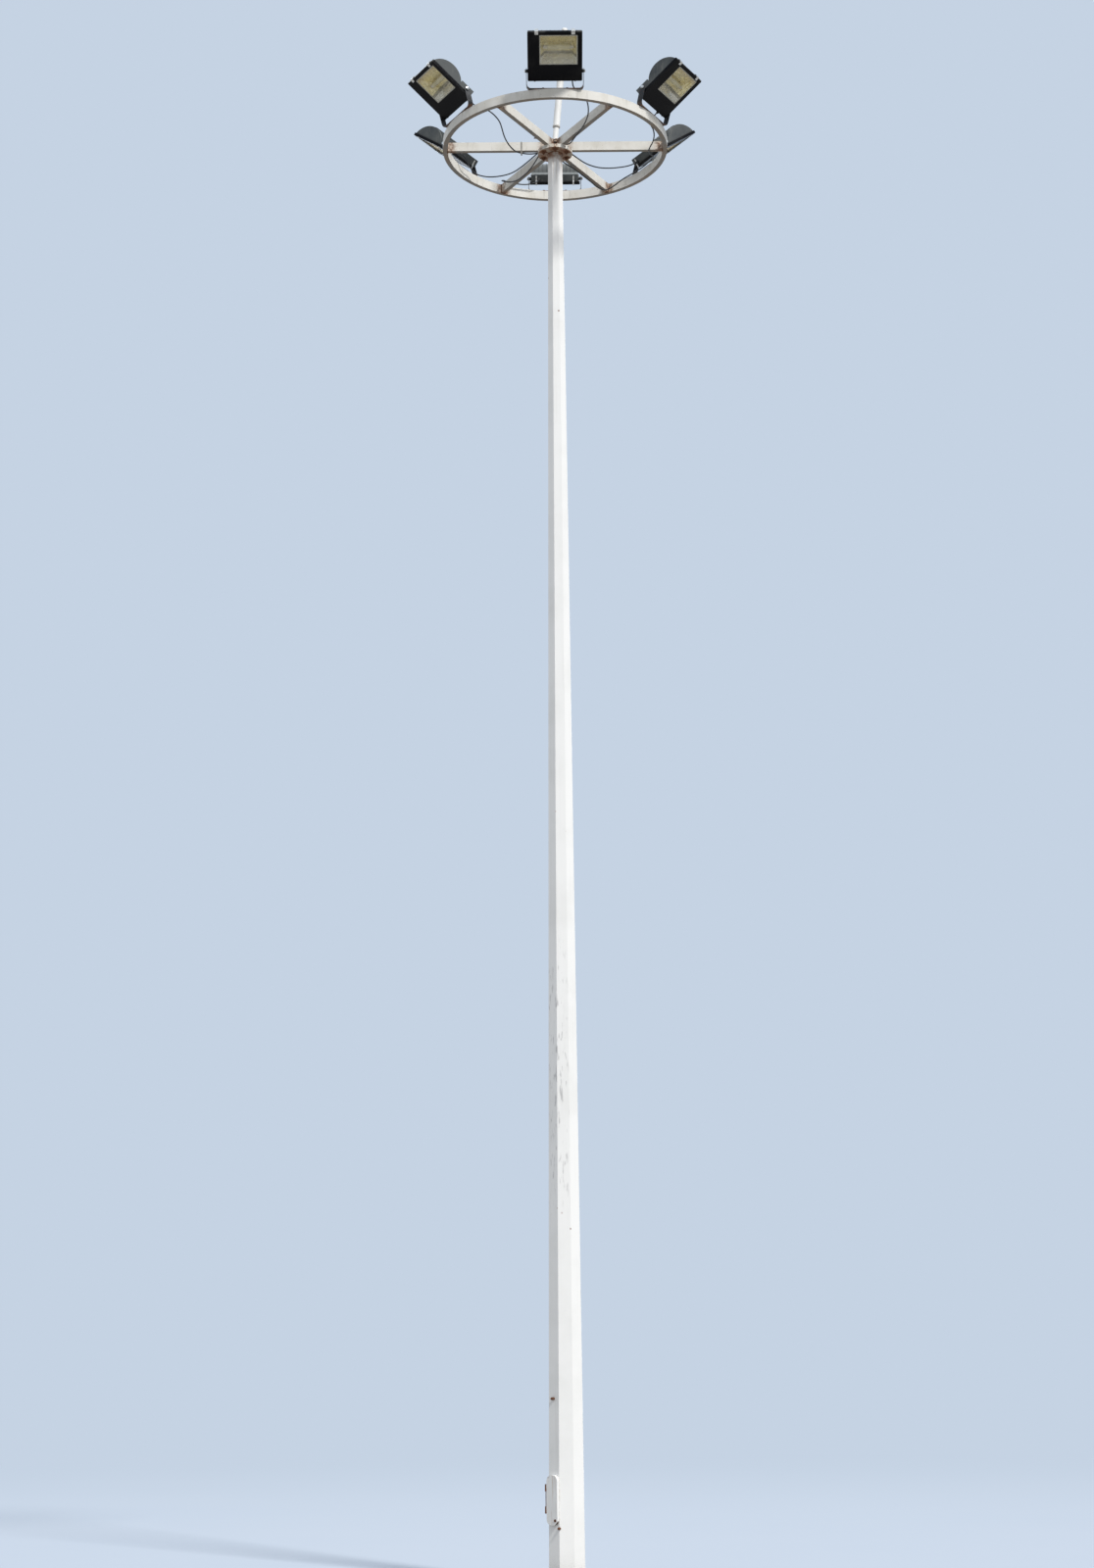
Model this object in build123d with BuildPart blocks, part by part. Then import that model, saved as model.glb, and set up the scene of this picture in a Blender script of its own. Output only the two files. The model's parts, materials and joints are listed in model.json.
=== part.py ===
from build123d import *

import os
from math import cos, pi, radians, sin, tan

os.makedirs("parts", exist_ok=True)

# Driving dimensions in millimetres. Z = 0 is the underside of the base plate, and the door faces -Y.
shaft_top_z = 11928
base_across_flats = 280
top_across_flats = 122
shaft_wall = 4
shaft_sides = 8

plate_edge_margin = 40
plate_thickness = 20
plate_corner = 40
anchor_spacing = 270
anchor_hole_radius = 14
cable_hole_radius = 60

# Access door in the mast, seen from outside, with its hinges on the left edge.
door_section_top_z = 1000
door_centre_z = 645
door_width = 115
door_height = 370
door_corner = 45
door_frame_wall = 8
door_frame_proud = 20
door_frame_inside = 14
door_seat_gap = 0.3
door_thickness = 5
hinge_heights = (-75, 90)
hinge_half_length = 25
hinge_slit = 1
knuckle_radius = 8
knuckle_gap = 0.5
hinge_pin_radius = 4
hinge_pin_clearance = 0.05
hinge_pin_head_radius = 7
hinge_pin_head_height = 3
hinge_leaf_depth = 8
lock_offset = (35, -150)
lock_radius = 8
lock_clearance = 0.1
lock_flange_radius = 11
lock_flange_thickness = 4
key_hole_sides = 3
key_hole_radius = 4

# Bolted joint between the mast and the lamp ring's hub.
flange_radius = 150
flange_thickness = 16
flange_bore_radius = 42
hub_bolt_circle_radius = 115
hub_bolt_hole_radius = 9
hub_tube_radius = 66.5
hub_tube_wall = 5
hub_cap_radius = 72
hub_cap_thickness = 8
cable_entry_width = 24
cable_entry_height = 50

# Lamp ring and spokes, all of one rectangular tube standing on edge.
tube_height = 80
tube_width = 40
tube_wall = 3
ring_outer_radius = 975
spoke_count = 6
first_spoke_angle = 45

# Rod above the hub, which leans a little to one side.
rod_lean = 5
rod_lean_direction = 45
stub_radius = 24
stub_length = 140
collar_radius = 33
collar_length = 12
pipe_radius = 30
pipe_length = 940
rod_wall = 4
pipe_tip_radius = 24

# Floodlight. The tilt axis runs through its two pivot bolts.
lamp_count = 6
lamp_tilt = 55
lamp_width = 455
lamp_height = 440
lamp_corner = 10
frame_depth = 24
frame_plate = 6
pivot_above_bottom = 70
pivot_behind_face = 43
pivot_above_ring = 150
pivot_outside_ring = 40
window_left_margin = 99
window_right_margin = 38
window_top_margin = 32
window_bottom_margin = 145
housing_width = 425
housing_wall = 3
housing_inset = 7
drum_height = 313
drum_depth = 118
gear_box_depth = 66
gear_box_overlap = 20
drum_rib_count = 11
drum_rib_pitch = 36
drum_rib_thickness = 4
drum_rib_height = 7
gland_offset = 146
gland_reach = 87
gland_radius = 8
glass_thickness = 5
glass_overlap = 12
reflector_gap = 0.3
reflector_sheet = 1.5
reflector_rim = 8
reflector_depth = 96
reflector_end_inset = 48
reflector_foot_inset = 50
tube_lamp_radius = 20
tube_lamp_length = 200
tube_lamp_end_radius = 12
lampholder_radius = 15
tube_lamp_behind_glass = 50

# Yoke of flat bar under each floodlight.
yoke_half_span = 235
yoke_bar_thickness = 5
yoke_bar_width = 40
yoke_bend_radius = 40
yoke_head_radius = 24
yoke_foot_height = 14
yoke_bolt_spacing = 200
yoke_bolt_hole_radius = 7
pivot_bolt_radius = 6
pivot_bolt_clearance = 0.08
pivot_boss_radius = 15
pivot_head_radius = 13
pivot_head_thickness = 8
pivot_face_gap = 0.3

# Lead of each floodlight, from the gland to the hub tube.
lead_radius = 5.5
lead_gap = 1
lead_straight = 50
lead_arc_share = 0.45

# Strap that ties one lead to a spoke.
strap_spoke_angle = 225
strap_distance = 286
strap_width = 12
strap_thickness = 2
strap_gap = 0.3
strap_below_spoke = 25

# Studs welded to the mast.
earth_stud_z = 437
earth_stud_angle = -67.5
side_stud_z = 1405
side_stud_angle = -90
stud_root_depth = 10
stud_boss_radius = 11
stud_boss_length = 24
stud_radius = 6
stud_length = 32

# Sizes worked out from the driving dimensions.
flange_top_z = shaft_top_z + flange_thickness
tube_bottom_z = flange_top_z + flange_thickness
tube_top_z = tube_bottom_z + tube_height
cap_top_z = tube_top_z + hub_cap_thickness
ring_inner_radius = ring_outer_radius - tube_width
ring_middle_radius = ring_outer_radius - tube_width / 2
plate_size = anchor_spacing + 2 * plate_edge_margin
pivot_radius = ring_middle_radius + pivot_outside_ring
pivot_z = tube_top_z + pivot_above_ring
lamp_angle_step = 360 / lamp_count
first_lamp_angle = first_spoke_angle + lamp_angle_step / 2
lamp_angles = [first_lamp_angle + step * lamp_angle_step for step in range(lamp_count)]


def mast_half_width(z):
    share = (z - plate_thickness) / (shaft_top_z - plate_thickness)
    return (base_across_flats + (top_across_flats - base_across_flats) * share) / 2


def outward(angle):
    return Vector(cos(radians(angle)), sin(radians(angle)), 0)


def sideways(angle):
    return Vector(-sin(radians(angle)), cos(radians(angle)), 0)


def stud_plane(angle, z):
    return Plane(origin=(0, 0, z), x_dir=sideways(angle), z_dir=outward(angle))


def save(part, name):
    part.label = name
    export_step(part, f"parts/{name}.step")


door_plane = Plane(origin=(0, -mast_half_width(door_centre_z), door_centre_z), x_dir=(1, 0, 0), z_dir=(0, -1, 0))

# Base plate with four anchor bolt holes and a cable hole.
with BuildPart() as base_plate:
    with BuildSketch(Plane.XY):
        square = Rectangle(plate_size, plate_size)
        chamfer(square.vertices(), plate_corner)
        with GridLocations(anchor_spacing, anchor_spacing, 2, 2):
            Circle(anchor_hole_radius, mode=Mode.SUBTRACT)
        Circle(cable_hole_radius, mode=Mode.SUBTRACT)
    extrude(amount=plate_thickness)
save(base_plate.part, "base_plate")

# Solid form of the tapered mast, also used to cope what is welded to it.
with BuildPart() as mast_form:
    for level, width in ((plate_thickness, base_across_flats), (shaft_top_z, top_across_flats)):
        with BuildSketch(Plane.XY.offset(level)):
            RegularPolygon(width / 2, shaft_sides, major_radius=False, rotation=180 / shaft_sides)
    loft()

# Octagonal tapered mast, hollow, with the hand hole cut through its front flat.
with BuildPart() as mast_tube:
    add(mast_form.part)
    for level, width in ((plate_thickness, base_across_flats), (shaft_top_z, top_across_flats)):
        with BuildSketch(Plane.XY.offset(level)):
            inner_width = width / 2 - shaft_wall
            RegularPolygon(inner_width, shaft_sides, major_radius=False, rotation=180 / shaft_sides)
    loft(mode=Mode.SUBTRACT)
    with BuildSketch(door_plane):
        RectangleRounded(door_width, door_height, door_corner)
    extrude(amount=door_frame_proud, both=True, mode=Mode.SUBTRACT)

with BuildPart() as mast_shaft:
    add(mast_tube.part)
    split(bisect_by=Plane.XY.offset(door_section_top_z), keep=Keep.TOP)
save(mast_shaft.part, "mast_shaft")

# Lowest length of the mast: the walls beside the hand hole, then those under, over and behind it.
for name, mode in (("door_section_sides", Mode.SUBTRACT), ("door_section_walls", Mode.INTERSECT)):
    with BuildPart() as door_section:
        add(mast_tube.part)
        split(bisect_by=Plane.XY.offset(door_section_top_z), keep=Keep.BOTTOM)
        with BuildSketch(Plane.XY):
            Rectangle(door_width, 2 * base_across_flats)
        extrude(amount=door_section_top_z, mode=mode)
    save(door_section.part, name)

# Reinforcing frame welded into the hand hole.
with BuildPart() as door_frame:
    with BuildSketch(door_plane.offset(-shaft_wall - door_frame_inside)):
        RectangleRounded(door_width, door_height, door_corner)
        RectangleRounded(
            door_width - 2 * door_frame_wall,
            door_height - 2 * door_frame_wall,
            door_corner - door_frame_wall,
            mode=Mode.SUBTRACT,
        )
    extrude(amount=shaft_wall + door_frame_inside + door_frame_proud)
save(door_frame.part, "door_frame")

# Hinge axis in the door plane: x from the middle of the door, and how far it stands out of the flat.
hinge_x = -(door_width / 2 + knuckle_radius + knuckle_gap)
hinge_out = door_frame_proud + door_seat_gap + door_thickness / 2
leaf_end_x = -door_width / 2


def level_plane(height):
    return Plane(origin=door_plane.from_local_coords((hinge_x, height, hinge_out)), x_dir=(1, 0, 0), z_dir=(0, 0, 1))


# Fixed halves of the two hinges, each with its leaf on the frame and its pin.
with BuildPart() as door_hinges:
    for height in hinge_heights:
        with BuildSketch(level_plane(height - hinge_half_length)):
            Circle(knuckle_radius)
            with Locations((0, door_thickness / 2 + door_seat_gap)):
                Rectangle(leaf_end_x - hinge_x, hinge_leaf_depth, align=(Align.MIN, Align.MIN))
        extrude(amount=hinge_half_length - hinge_slit / 2)
        with BuildSketch(level_plane(height - hinge_slit)):
            Circle(hinge_pin_radius)
        extrude(amount=hinge_half_length + 2 * hinge_slit)
        with BuildSketch(level_plane(height + hinge_half_length + hinge_slit / 2)):
            Circle(hinge_pin_head_radius)
        extrude(amount=hinge_pin_head_height)
save(door_hinges.part, "door_hinges")

# Door leaf with the moving hinge knuckles and a hole for the lock.
with BuildPart() as access_door:
    with BuildSketch(door_plane.offset(door_frame_proud + door_seat_gap)):
        RectangleRounded(door_width, door_height, door_corner)
        with Locations(lock_offset):
            Circle(lock_radius + lock_clearance, mode=Mode.SUBTRACT)
    extrude(amount=door_thickness)
    for height in hinge_heights:
        with BuildSketch(level_plane(height + hinge_slit / 2)):
            Circle(knuckle_radius)
            Rectangle(leaf_end_x - hinge_x, door_thickness, align=(Align.MIN, Align.CENTER))
            Circle(hinge_pin_radius + hinge_pin_clearance, mode=Mode.SUBTRACT)
        extrude(amount=hinge_half_length - hinge_slit / 2)
save(access_door.part, "access_door")

# Lock with a triangular key hole.
with BuildPart() as door_lock:
    lock_front = door_plane.offset(door_frame_proud + door_seat_gap + door_thickness)
    with BuildSketch(lock_front):
        with Locations(lock_offset):
            Circle(lock_flange_radius)
    extrude(amount=lock_flange_thickness)
    with BuildSketch(lock_front):
        with Locations(lock_offset):
            Circle(lock_radius)
    extrude(amount=-(door_thickness + lock_flange_thickness))
    with BuildSketch(lock_front.offset(lock_flange_thickness)):
        with Locations(lock_offset):
            RegularPolygon(key_hole_radius, key_hole_sides)
    extrude(amount=-lock_flange_thickness - door_thickness, mode=Mode.SUBTRACT)
save(door_lock.part, "door_lock")


def make_stud(angle, z, name):
    plane = stud_plane(angle, z)
    surface = mast_half_width(z)
    with BuildPart() as stud:
        with BuildSketch(plane.offset(surface - stud_root_depth)):
            Circle(stud_boss_radius)
        extrude(amount=stud_root_depth + stud_boss_length)
        with BuildSketch(plane.offset(surface - stud_root_depth)):
            Circle(stud_radius)
        extrude(amount=stud_root_depth + stud_length)
        add(mast_form.part, mode=Mode.SUBTRACT)
    save(stud.part, name)


make_stud(earth_stud_angle, earth_stud_z, "earth_stud")
make_stud(side_stud_angle, side_stud_z, "side_stud")

# Flange on the mast's top and the hub plate that is bolted to it.
for level, name in ((shaft_top_z, "mast_flange"), (flange_top_z, "hub_plate")):
    with BuildPart() as flange:
        with BuildSketch(Plane.XY.offset(level)):
            Circle(flange_radius)
            Circle(flange_bore_radius, mode=Mode.SUBTRACT)
            with PolarLocations(hub_bolt_circle_radius, lamp_count, first_lamp_angle):
                Circle(hub_bolt_hole_radius, mode=Mode.SUBTRACT)
        extrude(amount=flange_thickness)
    save(flange.part, name)

# Hub tube that the spokes meet, with a cable entry between each pair of spokes.
with BuildPart() as hub_tube:
    with BuildSketch(Plane.XY.offset(tube_bottom_z)):
        Circle(hub_tube_radius)
        Circle(hub_tube_radius - hub_tube_wall, mode=Mode.SUBTRACT)
    extrude(amount=tube_height)
    for angle in lamp_angles:
        with BuildSketch(stud_plane(angle, tube_bottom_z + tube_height / 2)):
            SlotOverall(cable_entry_height, cable_entry_width, rotation=90)
        extrude(amount=2 * hub_tube_radius, mode=Mode.SUBTRACT)
save(hub_tube.part, "hub_tube")

# Six spokes of rectangular tube, coped to the hub tube and to the ring.
with BuildPart() as spokes:
    for step in range(spoke_count):
        angle = first_spoke_angle + step * 360 / spoke_count
        spoke_plane = stud_plane(angle, tube_bottom_z + tube_height / 2)
        with BuildSketch(spoke_plane):
            Rectangle(tube_width, tube_height)
            Rectangle(tube_width - 2 * tube_wall, tube_height - 2 * tube_wall, mode=Mode.SUBTRACT)
        extrude(amount=ring_inner_radius)
    with BuildSketch(Plane.XY.offset(tube_bottom_z)):
        Circle(hub_tube_radius)
    extrude(amount=tube_height, mode=Mode.SUBTRACT)
    with BuildSketch(Plane.XY.offset(tube_bottom_z)):
        Circle(ring_inner_radius)
    extrude(amount=tube_height, mode=Mode.INTERSECT)
save(spokes.part, "spokes")

# Ring of the same tube.
with BuildPart() as ring:
    with BuildSketch(Plane.XZ):
        with Locations((ring_middle_radius, tube_bottom_z + tube_height / 2)):
            Rectangle(tube_width, tube_height)
            Rectangle(tube_width - 2 * tube_wall, tube_height - 2 * tube_wall, mode=Mode.SUBTRACT)
    revolve(axis=Axis.Z)
save(ring.part, "ring")

# Cap plate over the hub, which is the foot of the rod.
with BuildPart() as rod_foot:
    with BuildSketch(Plane.XY.offset(tube_top_z)):
        Circle(hub_cap_radius)
    extrude(amount=hub_cap_thickness)
save(rod_foot.part, "rod_foot")

# Rod: a stub, a collar and a wider pipe with a domed end, bored from below.
rod_up = outward(rod_lean_direction) * sin(radians(rod_lean)) + Vector(0, 0, cos(radians(rod_lean)))
rod_plane = Plane(origin=(0, 0, cap_top_z), x_dir=sideways(rod_lean_direction), z_dir=rod_up)
with BuildPart() as air_terminal:
    with BuildSketch(rod_plane.offset(-stub_radius)):
        Circle(stub_radius)
    extrude(amount=stub_radius + stub_length)
    with BuildSketch(rod_plane.offset(stub_length)):
        Circle(collar_radius)
    extrude(amount=collar_length)
    with BuildSketch(rod_plane.offset(stub_length + collar_length)):
        Circle(pipe_radius)
    extrude(amount=pipe_length)
    tip_edge = air_terminal.edges().group_by(Axis.Z)[-1]
    fillet(tip_edge, pipe_tip_radius)
    with BuildSketch(rod_plane.offset(-2 * stub_radius)):
        Circle(stub_radius - rod_wall)
    extrude(amount=2 * stub_radius + stub_length + collar_length, mode=Mode.SUBTRACT)
    with BuildSketch(rod_plane.offset(stub_length + collar_length)):
        Circle(pipe_radius - rod_wall)
    extrude(amount=pipe_length - pipe_radius, mode=Mode.SUBTRACT)
    split(bisect_by=Plane.XY.offset(cap_top_z), keep=Keep.TOP)
save(air_terminal.part, "air_terminal")

# Yoke pressed from plate, drawn with its pivot at the origin, X along the pivot, Y up and Z outwards.
# Its foot lies flat on the ring and its arms lean out to the pivot, tapering towards the foot.
yoke_outer = yoke_half_span + yoke_bar_thickness
yoke_height = pivot_above_ring + yoke_head_radius
yoke_reach = pivot_outside_ring + yoke_bar_width + yoke_head_radius
with BuildPart() as yoke:
    with BuildSketch(Plane.XY) as yoke_outline:
        with Locations((0, -pivot_above_ring)):
            Rectangle(2 * yoke_outer, yoke_height, align=(Align.CENTER, Align.MIN))
        fillet(yoke_outline.vertices().group_by(Axis.Y)[0], yoke_bend_radius)
        with BuildSketch(mode=Mode.SUBTRACT) as yoke_inside:
            with Locations((0, -pivot_above_ring + yoke_bar_thickness)):
                Rectangle(2 * yoke_half_span, yoke_height, align=(Align.CENTER, Align.MIN))
            fillet(yoke_inside.vertices().group_by(Axis.Y)[0], yoke_bend_radius - yoke_bar_thickness)
    extrude(amount=yoke_reach, both=True)
    with BuildSketch(Plane.YZ) as arm_side:
        Circle(yoke_head_radius)
        with Locations((-pivot_above_ring, -pivot_outside_ring)):
            Rectangle(yoke_foot_height, yoke_bar_width, align=(Align.MIN, Align.CENTER))
        make_hull(arm_side.edges())
    extrude(amount=yoke_outer, both=True, mode=Mode.INTERSECT)
    with BuildSketch(Plane.YZ):
        Circle(pivot_bolt_radius + pivot_bolt_clearance)
    extrude(amount=yoke_outer, both=True, mode=Mode.SUBTRACT)
    with BuildSketch(Plane.XZ.offset(pivot_above_ring)):
        with Locations((0, -pivot_outside_ring)):
            with GridLocations(yoke_bolt_spacing, 1, 2, 1):
                Circle(yoke_bolt_hole_radius)
    extrude(amount=-yoke_bar_thickness, mode=Mode.SUBTRACT)


def yoke_plane(angle):
    pivot = outward(angle) * pivot_radius + Vector(0, 0, pivot_z)
    return Plane(origin=pivot, x_dir=sideways(angle), z_dir=outward(angle))


def lamp_plane(angle):
    tilt = radians(lamp_tilt)
    facing = outward(angle) * cos(tilt) - Vector(0, 0, sin(tilt))
    return Plane(origin=yoke_plane(angle).origin, x_dir=sideways(angle), z_dir=facing)


with BuildPart() as lamp_yokes:
    for angle in lamp_angles:
        add(yoke.part.moved(yoke_plane(angle).location))
save(lamp_yokes.part, "lamp_yokes")

# Floodlight pieces, drawn with the pivot at the origin, X along it, Y up the face and Z out of the face.
face_z = pivot_behind_face
frame_back_z = face_z - frame_depth
face_bottom_y = -pivot_above_bottom
face_top_y = face_bottom_y + lamp_height
face_middle_y = (face_bottom_y + face_top_y) / 2
drum_top_y = face_top_y - housing_inset
drum_bottom_y = drum_top_y - drum_height
housing_bottom_y = face_bottom_y + housing_inset
window_width = lamp_width - window_left_margin - window_right_margin
window_height = lamp_height - window_top_margin - window_bottom_margin
window_x = (window_left_margin - window_right_margin) / 2
window_y = face_middle_y + (window_bottom_margin - window_top_margin) / 2
plate_back_z = face_z - frame_plate
glass_back_z = plate_back_z - glass_thickness

# Cast housing: a ribbed half drum over the reflector and a smaller gear box below it, open at the front.
drum_middle_y = (drum_top_y + drum_bottom_y) / 2


def drum_side(growth):
    with BuildSketch() as outline:
        with BuildLine():
            Line((drum_bottom_y - growth, frame_back_z), (drum_top_y + growth, frame_back_z))
            ThreePointArc(
                (drum_top_y + growth, frame_back_z),
                (drum_middle_y, frame_back_z - drum_depth - growth),
                (drum_bottom_y - growth, frame_back_z),
            )
        make_face()
    return outline.sketch


with BuildPart() as housing:
    with BuildSketch(Plane.YZ):
        add(drum_side(0))
        with Locations((housing_bottom_y, frame_back_z)):
            gear_box_height = drum_bottom_y - housing_bottom_y + gear_box_overlap
            Rectangle(gear_box_height, gear_box_depth, align=(Align.MIN, Align.MAX))
    extrude(amount=housing_width / 2, both=True)
    offset(amount=-housing_wall, openings=housing.faces().sort_by(Axis.Z)[-1])
    for step in range(drum_rib_count):
        rib_x = (step - (drum_rib_count - 1) / 2) * drum_rib_pitch
        with BuildSketch(Plane.YZ.offset(rib_x - drum_rib_thickness / 2)):
            add(drum_side(drum_rib_height))
            add(drum_side(-housing_wall / 2), mode=Mode.SUBTRACT)
            with Locations((drum_top_y, frame_back_z)):
                Rectangle(2 * drum_rib_height, drum_depth, align=(Align.MIN, Align.CENTER), mode=Mode.SUBTRACT)
            with Locations((drum_bottom_y, frame_back_z)):
                Rectangle(2 * drum_height, 2 * gear_box_depth, align=(Align.MAX, Align.CENTER), mode=Mode.SUBTRACT)
        extrude(amount=drum_rib_thickness)
    boss_length = yoke_half_span - pivot_face_gap - housing_width / 2
    shank_length = yoke_bar_thickness + 2 * pivot_face_gap
    for side in (-1, 1):
        with BuildSketch(Plane.YZ.offset(side * housing_width / 2)):
            Circle(pivot_boss_radius)
        extrude(amount=side * boss_length)
        with BuildSketch(Plane.YZ.offset(side * (housing_width / 2 + boss_length))):
            Circle(pivot_bolt_radius)
        extrude(amount=side * shank_length)
        with BuildSketch(Plane.YZ.offset(side * (housing_width / 2 + boss_length + shank_length))):
            Circle(pivot_head_radius)
        extrude(amount=side * pivot_head_thickness)
    with BuildSketch(Plane.XZ.offset(-housing_bottom_y)):
        with Locations((gland_offset, 0)):
            Circle(gland_radius)
    extrude(amount=gland_reach + housing_bottom_y)

# Front frame with its window set to one side, pocketed behind for the glass and the reflector.
with BuildPart() as front_frame:
    with BuildSketch(Plane.XY.offset(frame_back_z)):
        with Locations((0, face_middle_y)):
            RectangleRounded(lamp_width, lamp_height, lamp_corner)
    extrude(amount=frame_depth)
    with BuildSketch(Plane.XY.offset(frame_back_z)):
        with Locations((0, face_middle_y)):
            pocket_height = lamp_height - 2 * (housing_inset + housing_wall)
            Rectangle(housing_width - 2 * housing_wall, pocket_height)
    extrude(amount=frame_depth - frame_plate, mode=Mode.SUBTRACT)
    with BuildSketch(Plane.XY.offset(plate_back_z)):
        with Locations((window_x, window_y)):
            Rectangle(window_width, window_height)
    extrude(amount=frame_plate, mode=Mode.SUBTRACT)

# Window glass seated behind the front plate.
with BuildPart() as window_glass:
    with BuildSketch(Plane.XY.offset(glass_back_z)):
        with Locations((window_x, window_y)):
            Rectangle(window_width + 2 * glass_overlap, window_height + 2 * glass_overlap)
    extrude(amount=glass_thickness)

# Reflector: one sheet bent over the lamp between two slanted end plates, with a rim behind the glass.
reflector_front_z = glass_back_z - reflector_gap
reflector_back_z = reflector_front_z - reflector_depth
window_top_y = window_y + window_height / 2
window_foot_y = window_y - window_height / 2


def reflector_form(growth):
    back_z = reflector_back_z - growth
    top = (window_top_y + growth, reflector_front_z)
    foot = (window_foot_y - growth, reflector_front_z)
    bend = (window_foot_y + reflector_foot_inset, back_z)
    with BuildPart() as form:
        with BuildSketch(Plane.YZ.offset(window_x)):
            with BuildLine():
                Line(top, foot)
                Line(foot, bend)
                TangentArc(bend, top, tangent=(1, 0))
            make_face()
        extrude(amount=window_width, both=True)
        with BuildSketch(Plane.XZ.offset(-2 * lamp_height)):
            with Locations((window_x, 0)):
                front_half = window_width / 2 + growth
                back_half = front_half - reflector_end_inset
                Polygon(
                    (-front_half, reflector_front_z),
                    (front_half, reflector_front_z),
                    (back_half, back_z),
                    (-back_half, back_z),
                    align=None,
                )
        extrude(amount=4 * lamp_height, mode=Mode.INTERSECT)
    return form.part


with BuildPart() as reflector:
    add(reflector_form(reflector_sheet))
    add(reflector_form(0), mode=Mode.SUBTRACT)
    with BuildSketch(Plane.XY.offset(reflector_front_z - reflector_sheet)):
        with Locations((window_x, window_y)):
            Rectangle(window_width + 2 * reflector_rim, window_height + 2 * reflector_rim)
            Rectangle(window_width, window_height, mode=Mode.SUBTRACT)
    extrude(amount=reflector_sheet)

# Discharge lamp with a holder at each end.
lamp_centre_z = glass_back_z - tube_lamp_behind_glass
holder_depth = reflector_front_z - (lamp_centre_z - lampholder_radius)
holder_half_span = window_width / 2 - reflector_end_inset * holder_depth / reflector_depth - reflector_gap
with BuildPart() as lamp_tube:
    with BuildSketch(Plane((window_x, window_y, lamp_centre_z))) as half_section:
        Rectangle(tube_lamp_length, 2 * tube_lamp_radius)
        fillet(half_section.vertices(), tube_lamp_end_radius)
        Rectangle(2 * holder_half_span, 2 * lampholder_radius)
        Rectangle(
            2 * holder_half_span, 2 * tube_lamp_radius, align=(Align.CENTER, Align.MAX), mode=Mode.SUBTRACT
        )
    revolve(axis=Axis((window_x, window_y, lamp_centre_z), (1, 0, 0)))

lamp_pieces = {
    "housing": housing,
    "front_frame": front_frame,
    "glass": window_glass,
    "reflector": reflector,
    "lamp_tube": lamp_tube,
}
for number, angle in enumerate(lamp_angles, start=1):
    for piece_name, piece in lamp_pieces.items():
        save(piece.part.moved(lamp_plane(angle).location), f"lamp_{number}_{piece_name}")

# Points of each lead after its straight start, as bearing, distance from the mast's axis and height.
# The leads hang inside the ring and end in the hub tube.
lead_routes = [
    [
        (83.5, 826, 12070), (82, 735, 12024), (82.5, 612, 11980), (83, 480, 11948),
        (83, 350, 11944), (79.5, 240, 11960), (76.5, 165, 11982), (75.5, 120, 11996),
        (75, 86, 12000), (75, 50, 12001),
    ],
    [
        (146.9, 879, 12085), (151, 897, 12068), (156.5, 900, 12060), (161.8, 896, 12062),
        (166.6, 884, 12058), (169, 862, 12038), (168.9, 810, 12006), (167.8, 715, 11966),
        (168.6, 590, 11934), (170, 460, 11926), (173.5, 335, 11936), (180, 240, 11954),
        (188.5, 170, 11980), (194, 124, 11996), (195, 88, 12000), (195, 50, 12000),
    ],
    [
        (202.4, 867, 12081), (198, 869, 12058), (192.7, 886, 12040), (188.3, 884, 12008),
        (184, 795, 11976), (181.5, 660, 11952), (180.3, 525, 11941), (183.5, 390, 11946),
        (188, 270, 11966), (192, 182, 11992), (194.5, 124, 12010), (195, 88, 12014),
        (195, 50, 12014),
    ],
    [
        (266.9, 879, 12083), (271.1, 901, 12046), (274.8, 903, 12006), (277.4, 893, 11972),
        (278.2, 843, 11950), (276.8, 760, 11940), (272, 665, 11935), (264.5, 570, 11930),
        (254, 470, 11927), (242.5, 390, 11928), (231.5, 336, 11937), (225.5, 288, 11943),
        (217.5, 232, 11951), (206.5, 178, 11968), (199, 128, 11982), (195.3, 90, 11986),
        (195, 50, 11986),
    ],
    [
        (326.9, 879, 12081), (330.3, 900, 12042), (332, 907, 11990), (333.8, 868, 11950),
        (336.4, 765, 11936), (339.2, 620, 11935), (341.8, 480, 11939), (344.5, 350, 11942),
        (351, 240, 11950), (3, 168, 11974), (11.5, 120, 11993), (15, 86, 12000),
        (15, 50, 12001),
    ],
    [
        (23.6, 868, 12078), (22.4, 887, 12030), (22.3, 912, 11985), (25.5, 905, 11952),
        (31.5, 868, 11937), (39.5, 815, 11936), (47, 822, 11944), (53, 862, 11974),
        (59.5, 895, 12010), (67.5, 905, 12030), (76, 906, 12032), (85, 908, 12034),
        (93.3, 908, 12024), (99.5, 905, 11984), (103.4, 872, 11946), (105.6, 790, 11942),
        (105.2, 650, 11944), (106, 500, 11947), (105.6, 355, 11944), (110.5, 240, 11944),
        (122, 170, 11972), (131.5, 120, 11994), (135, 86, 12000), (135, 50, 12001),
    ],
]


# Strap round the spoke and the lead below it.
strap_top = tube_height / 2 + strap_gap
strap_foot = -tube_height / 2 - strap_below_spoke
strap_inner_width = tube_width + 2 * strap_gap
strap_inner_height = strap_top - strap_foot
with BuildPart() as spoke_strap:
    strap_plane = stud_plane(strap_spoke_angle, tube_bottom_z + tube_height / 2)
    with BuildSketch(strap_plane.offset(strap_distance)):
        with Locations((0, (strap_top + strap_foot) / 2)):
            Rectangle(strap_inner_width + 2 * strap_thickness, strap_inner_height + 2 * strap_thickness)
            Rectangle(strap_inner_width, strap_inner_height, mode=Mode.SUBTRACT)
    extrude(amount=strap_width)
save(spoke_strap.part, "spoke_strap")


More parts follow.
